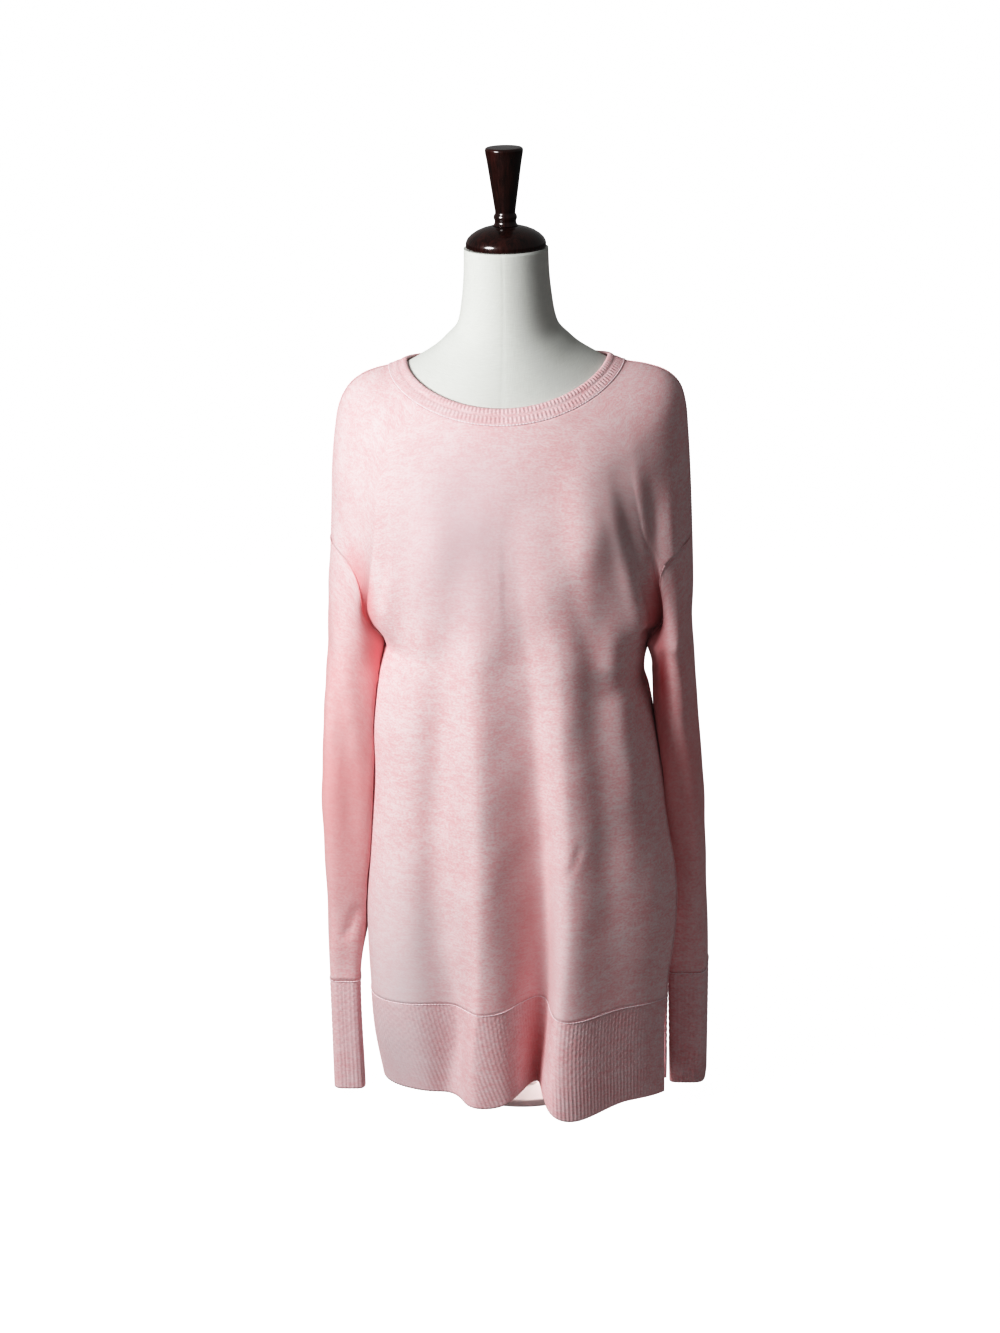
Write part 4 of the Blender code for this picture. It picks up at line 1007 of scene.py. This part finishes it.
bodyEnd = 2 - panel["seamInset"]
hemSeamFront, hemSeamBack = [
    makeSeam(f"hem_seam_{word}", lambda c: bodyPoint(c, bandSeam, front), -bodyEnd, bodyEnd, squareOut)
    for word, front in (("front", True), ("back", False))
]
cuffSeams = [
    makeSeam(f"cuff_seam_{word}", lambda turn: ringPoint(turn, bandSeam, word), 0.0, 4.0,
             lambda middle: (middle - middle.mean(axis=0)) * [1, 1, 0], lift=0.5, closed=True)
    for word, sign in sides
]
neckSeamCord = makeSeam(
    "neck_seam", lambda angle: neckPoint(angle, neckSeam - 0.01), 0.0, 2 * math.pi,
    lambda middle: middle * [1, 1, 0] + [0, 0, 0.12], radius=cord["neckRadius"], closed=True)
for word, sign in sides:
    armhole = lambda turn: capPoint(turn, armholeLevel(1 + np.where(turn <= 1, turn, 2 - turn)), sign)
    for name, place, first, last, out in (
        ("side", lambda level: bodyPoint(2.0 * sign, level, True), underarm + 0.05, bandSeam,
         lambda middle: np.broadcast_to([sign, -0.2, 0.0], middle.shape)),
        ("shoulder", lambda level: yokePoint(2.0 * sign, level, True), neckSeam + 0.05,
         yoke["seamOutside"] - 0.05, lambda middle: middle * [0.6, 0, 0] + [0, 0, 0.08]),
        ("armhole", armhole, 0.02, 1.98, lambda middle: (middle - [sign * 0.15, 0, 0.5]) * [1, 1, 0.2]),
    ):
        makeSeam(f"{name}_seam_{word}", place, first, last, out, knitYarn, "knit")
print("seams made")

# The form's rings: half width, depth in front and behind, and height at the right, left, front and back
torso = {
    "rings": byLevel([
        (44, 44, 44, 929, 929, 929, 929), (44.8, 44.5, 44.7, 901, 901, 900.5, 901),
        (47.5, 46.8, 47.2, 874, 874, 872, 874), (50.5, 50.5, 50, 857, 857, 851, 856),
        (54.5, 56.5, 54.2, 847.5, 847.5, 834.5, 843.5), (63, 64.5, 59.5, 838.8, 839, 819, 831.5),
        (74.5, 73, 64.5, 828.2, 829, 804, 820), (90.5, 80.5, 68, 817.9, 819.5, 788.5, 808),
        (106, 88.5, 70.5, 809.6, 811.5, 773.5, 796), (122.5, 99.5, 74.5, 803.6, 805.6, 758.5, 786),
        (137, 106.5, 84.5, 799.6, 801.2, 739.5, 772.5), (150, 111.2, 92.5, 793.4, 794.2, 719.5, 753.5),
        (157, 114, 97.5, 779.6, 780, 699, 731), (159, 116.8, 100.5, 757, 757, 678.5, 707),
        (158, 120.5, 103, 727, 727, 656, 682), (154, 124.5, 104, 685, 685, 630, 651),
        (149, 123, 102, 635, 635, 600, 618), (140, 110, 97, 578, 578, 562, 572),
        (126, 96, 90, 518, 518, 512, 516), (112, 86, 82, 442, 442, 442, 442),
        (116, 85, 85, 376, 376, 376, 376), (130, 88, 94, 308, 308, 308, 308),
        (137, 89, 97, 252, 252, 252, 252), (134, 84, 93, 210, 210, 210, 210),
        (124, 76, 85, 185, 185, 185, 185), (116, 70, 79, 177, 177, 177, 177)]),
    "columns": 192, "rowsPerRing": 8, "seamDepth": 0.00025, "seamWidth": 0.0009,
}
for level, row in enumerate(torso["rings"]):  # round at the neck, and squarer from the shoulders down
    torso["rings"][level] = (*row, 2 + 0.05 * min(max(level - 9, 0), 4))


def makeTorso():
    angle = np.arange(torso["columns"]) / torso["columns"] * 2 * math.pi
    rings, last = [], len(torso["rings"]) - 1
    for level in np.linspace(0, last, last * torso["rowsPerRing"] + 1):
        sideX, *ring = curve(torso["rings"], level)
        rings.append(saddleRing(angle, sideX, sideX, *ring))
    points, quads, flats = tubeOf(np.array(rings))
    seams = np.exp(-(np.abs(points[:, 0]) / torso["seamWidth"]) ** 2)
    points = points - vertexNormals(points, quads) * (torso["seamDepth"] * seams)[:, None]
    around = list(range(torso["columns"]))
    ends = [around, [len(points) - 1 - column for column in around]]
    return makePiece("form_torso", points, quads, flats, canvas, "canvas", ends=ends)


formTorso = makeTorso()

# Turned parts: radius and height down the outer side
turnedParts = {
    "form_cap": (darkWood, "dark_wood", 0, [
        (12.5, 952.1), (18, 951), (24.5, 949.1), (30.8, 946.3), (36.2, 942.7), (39.8, 939), (41.3, 936),
        (41.8, 933.8), (41.8, 930.6), (41.5, 929.7), (40.8, 929.3)]),
    "form_finial": (darkWood, "dark_wood", 0, [
        (16.5, 1034), (18.4, 1033.7), (19.5, 1032.8), (19.8, 1031.2), (19.5, 1028), (18.4, 1022), (17, 1013),
        (15.7, 1004), (14.4, 994.5), (13, 985), (11.6, 975), (10.6, 968), (10.4, 965.2), (11.3, 964),
        (12.1, 962), (12.1, 960), (11.3, 958.4), (11, 956.8), (11.5, 954.5), (12.8, 952.6), (13.1, 952.3)]),
    "form_post": (whiteSteel, "white_steel", 18, [
        (12.3, 176.7), (12.5, 176), (12.5, 8.9), (12.3, 8.3)]),
    "form_foot": (whiteSteel, "white_steel", 26, [
        (62, 8), (64, 7.9), (65.2, 7.3), (65.8, 6.2), (66, 4.5), (66, 0.6), (65.6, 0)]),
}


turnedSteps = 96


def makeTurned(name, material, slot, middleY, profile):
    profile = metres(profile)
    outline = [(0.0, 0.0, profile[0][1])] + [(r, 0.0, z) for r, z in profile] + [(0.0, 0.0, profile[-1][1])]
    mesh = bpy.data.meshes.new(name)
    mesh.from_pydata(outline, [(i, i + 1) for i in range(len(outline) - 1)], [])
    piece = addPiece(name, mesh, material, slot)
    piece.location.y = middleY / 1000
    screw = piece.modifiers.new("turn", "SCREW")
    screw.steps = screw.render_steps = turnedSteps
    screw.use_merge_vertices, screw.merge_threshold = True, 0.00005  # at the middle
    screw.use_smooth_shade = screw.use_normal_calculate = True
    piece.modifiers.new("edges", "WEIGHTED_NORMAL").keep_sharp = True


for name, facts in turnedParts.items():
    makeTurned(name, *facts)
print("form made")

# Floor, light and camera
floor = {"size": 60.0, "colour": (0.90, 0.90, 0.90), "glow": 2.2, "bounce": (0.26, 0.26, 0.26), "shadow": 0.2}
lights = {  # place, aimed at, size, watts, colour
    "key": ((-1.16, -1.17, 1.40), (0.0, 0.0, 0.55), 0.83, 41.0, (1.0, 1.0, 1.0)),
    "back": ((-0.25, 2.30, 1.30), (0.0, 0.0, 0.50), 0.90, 24.0, (1.0, 1.0, 1.0)),
    "under": ((0.03, 0.03, 0.165), (0.03, 0.03, 0.0), 0.10, 0.30, (1.0, 0.97, 0.97)),
}
sky = {"colour": (1.0, 1.0, 1.0), "strength": 0.20}
tone = {"white": 1.6, "curve": [(0.04, 0.0171), (0.10, 0.0677), (0.25, 0.233), (0.50, 0.500), (1.0, 0.84)]}
camera = {"from": (0.4651, -5.3163, 1.8386), "to": (0.0, 0.0, 0.508), "roll": -1.2, "lens": 140.12,
          "shift": (-0.0106527, -0.01988)}


def aim(thing, place, target, roll=0.0):
    thing.location = place
    turn = (Vector(target) - Vector(place)).to_track_quat("-Z", "Y").to_matrix().to_4x4()
    thing.rotation_euler = (turn @ Matrix.Rotation(math.radians(roll), 4, "Z")).to_euler()


def makeStage():
    half = floor["size"] / 2
    mesh = bpy.data.meshes.new("floor")
    mesh.from_pydata([(-half, -half, 0), (half, -half, 0), (half, half, 0), (-half, half, 0)], [], [range(4)])
    material, tree, shader = addMaterial("paleFloor", {
        "Base Color": (*floor["bounce"], 1), "Roughness": 1.0, "Specular IOR Level": 0.0,
    })
    glow = {"Color": (*floor["colour"], 1), "Strength": floor["glow"]}
    seen = addNode(tree, "ShaderNodeEmission", **glow).outputs[0]
    lit = addNode(tree, "ShaderNodeMixShader", in0=floor["shadow"], in1=seen, in2=shader.outputs[0]).outputs[0]
    ray = addNode(tree, "ShaderNodeLightPath").outputs["Is Camera Ray"]
    mixed = addNode(tree, "ShaderNodeMixShader", in0=ray, in1=shader.outputs[0], in2=lit)
    tree.links.new(mixed.outputs[0], tree.nodes["Material Output"].inputs["Surface"])
    mesh.materials.append(material)
    ground = bpy.data.objects.new("floor", mesh)
    scene.collection.objects.link(ground)
    for name, (place, target, size, watts, colour) in lights.items():
        lamp = bpy.data.lights.new(name, "AREA")
        lamp.shape, lamp.size, lamp.energy, lamp.color = "DISK", size, watts, colour
        made = bpy.data.objects.new(name, lamp)
        scene.collection.objects.link(made)
        made.visible_glossy = name != "back"  # it only fills, and leaves no glare on the wood
        aim(made, place, target)
    scene.world = bpy.data.worlds.new("studio")
    scene.world.use_nodes = True
    tree = scene.world.node_tree
    plain = tree.nodes["Background"]
    plain.inputs[0].default_value, plain.inputs[1].default_value = (*sky["colour"], 1), sky["strength"]
    backdrop = addNode(tree, "ShaderNodeBackground", **glow).outputs[0]
    ray = addNode(tree, "ShaderNodeLightPath").outputs["Is Camera Ray"]
    mixed = addNode(tree, "ShaderNodeMixShader", in0=ray, in1=plain.outputs[0], in2=backdrop)
    tree.links.new(mixed.outputs[0], tree.nodes["World Output"].inputs["Surface"])
    lens = bpy.data.cameras.new("camera")
    lens.lens, lens.sensor_width = camera["lens"], 36.0
    lens.shift_x, lens.shift_y = camera["shift"]
    scene.camera = bpy.data.objects.new("camera", lens)
    scene.collection.objects.link(scene.camera)
    aim(scene.camera, camera["from"], camera["to"], camera["roll"])
    scene.view_settings.view_transform = "Standard"
    scene.view_settings.use_curve_mapping = True
    mapping = scene.view_settings.curve_mapping
    mapping.white_level = (tone["white"],) * 3
    points = mapping.curves[3].points
    for given, shown in tone["curve"]:
        points.new(given / tone["white"], shown)
    points[-1].location = (1.0, 1.0)
    mapping.update()


makeStage()

print("scene made")
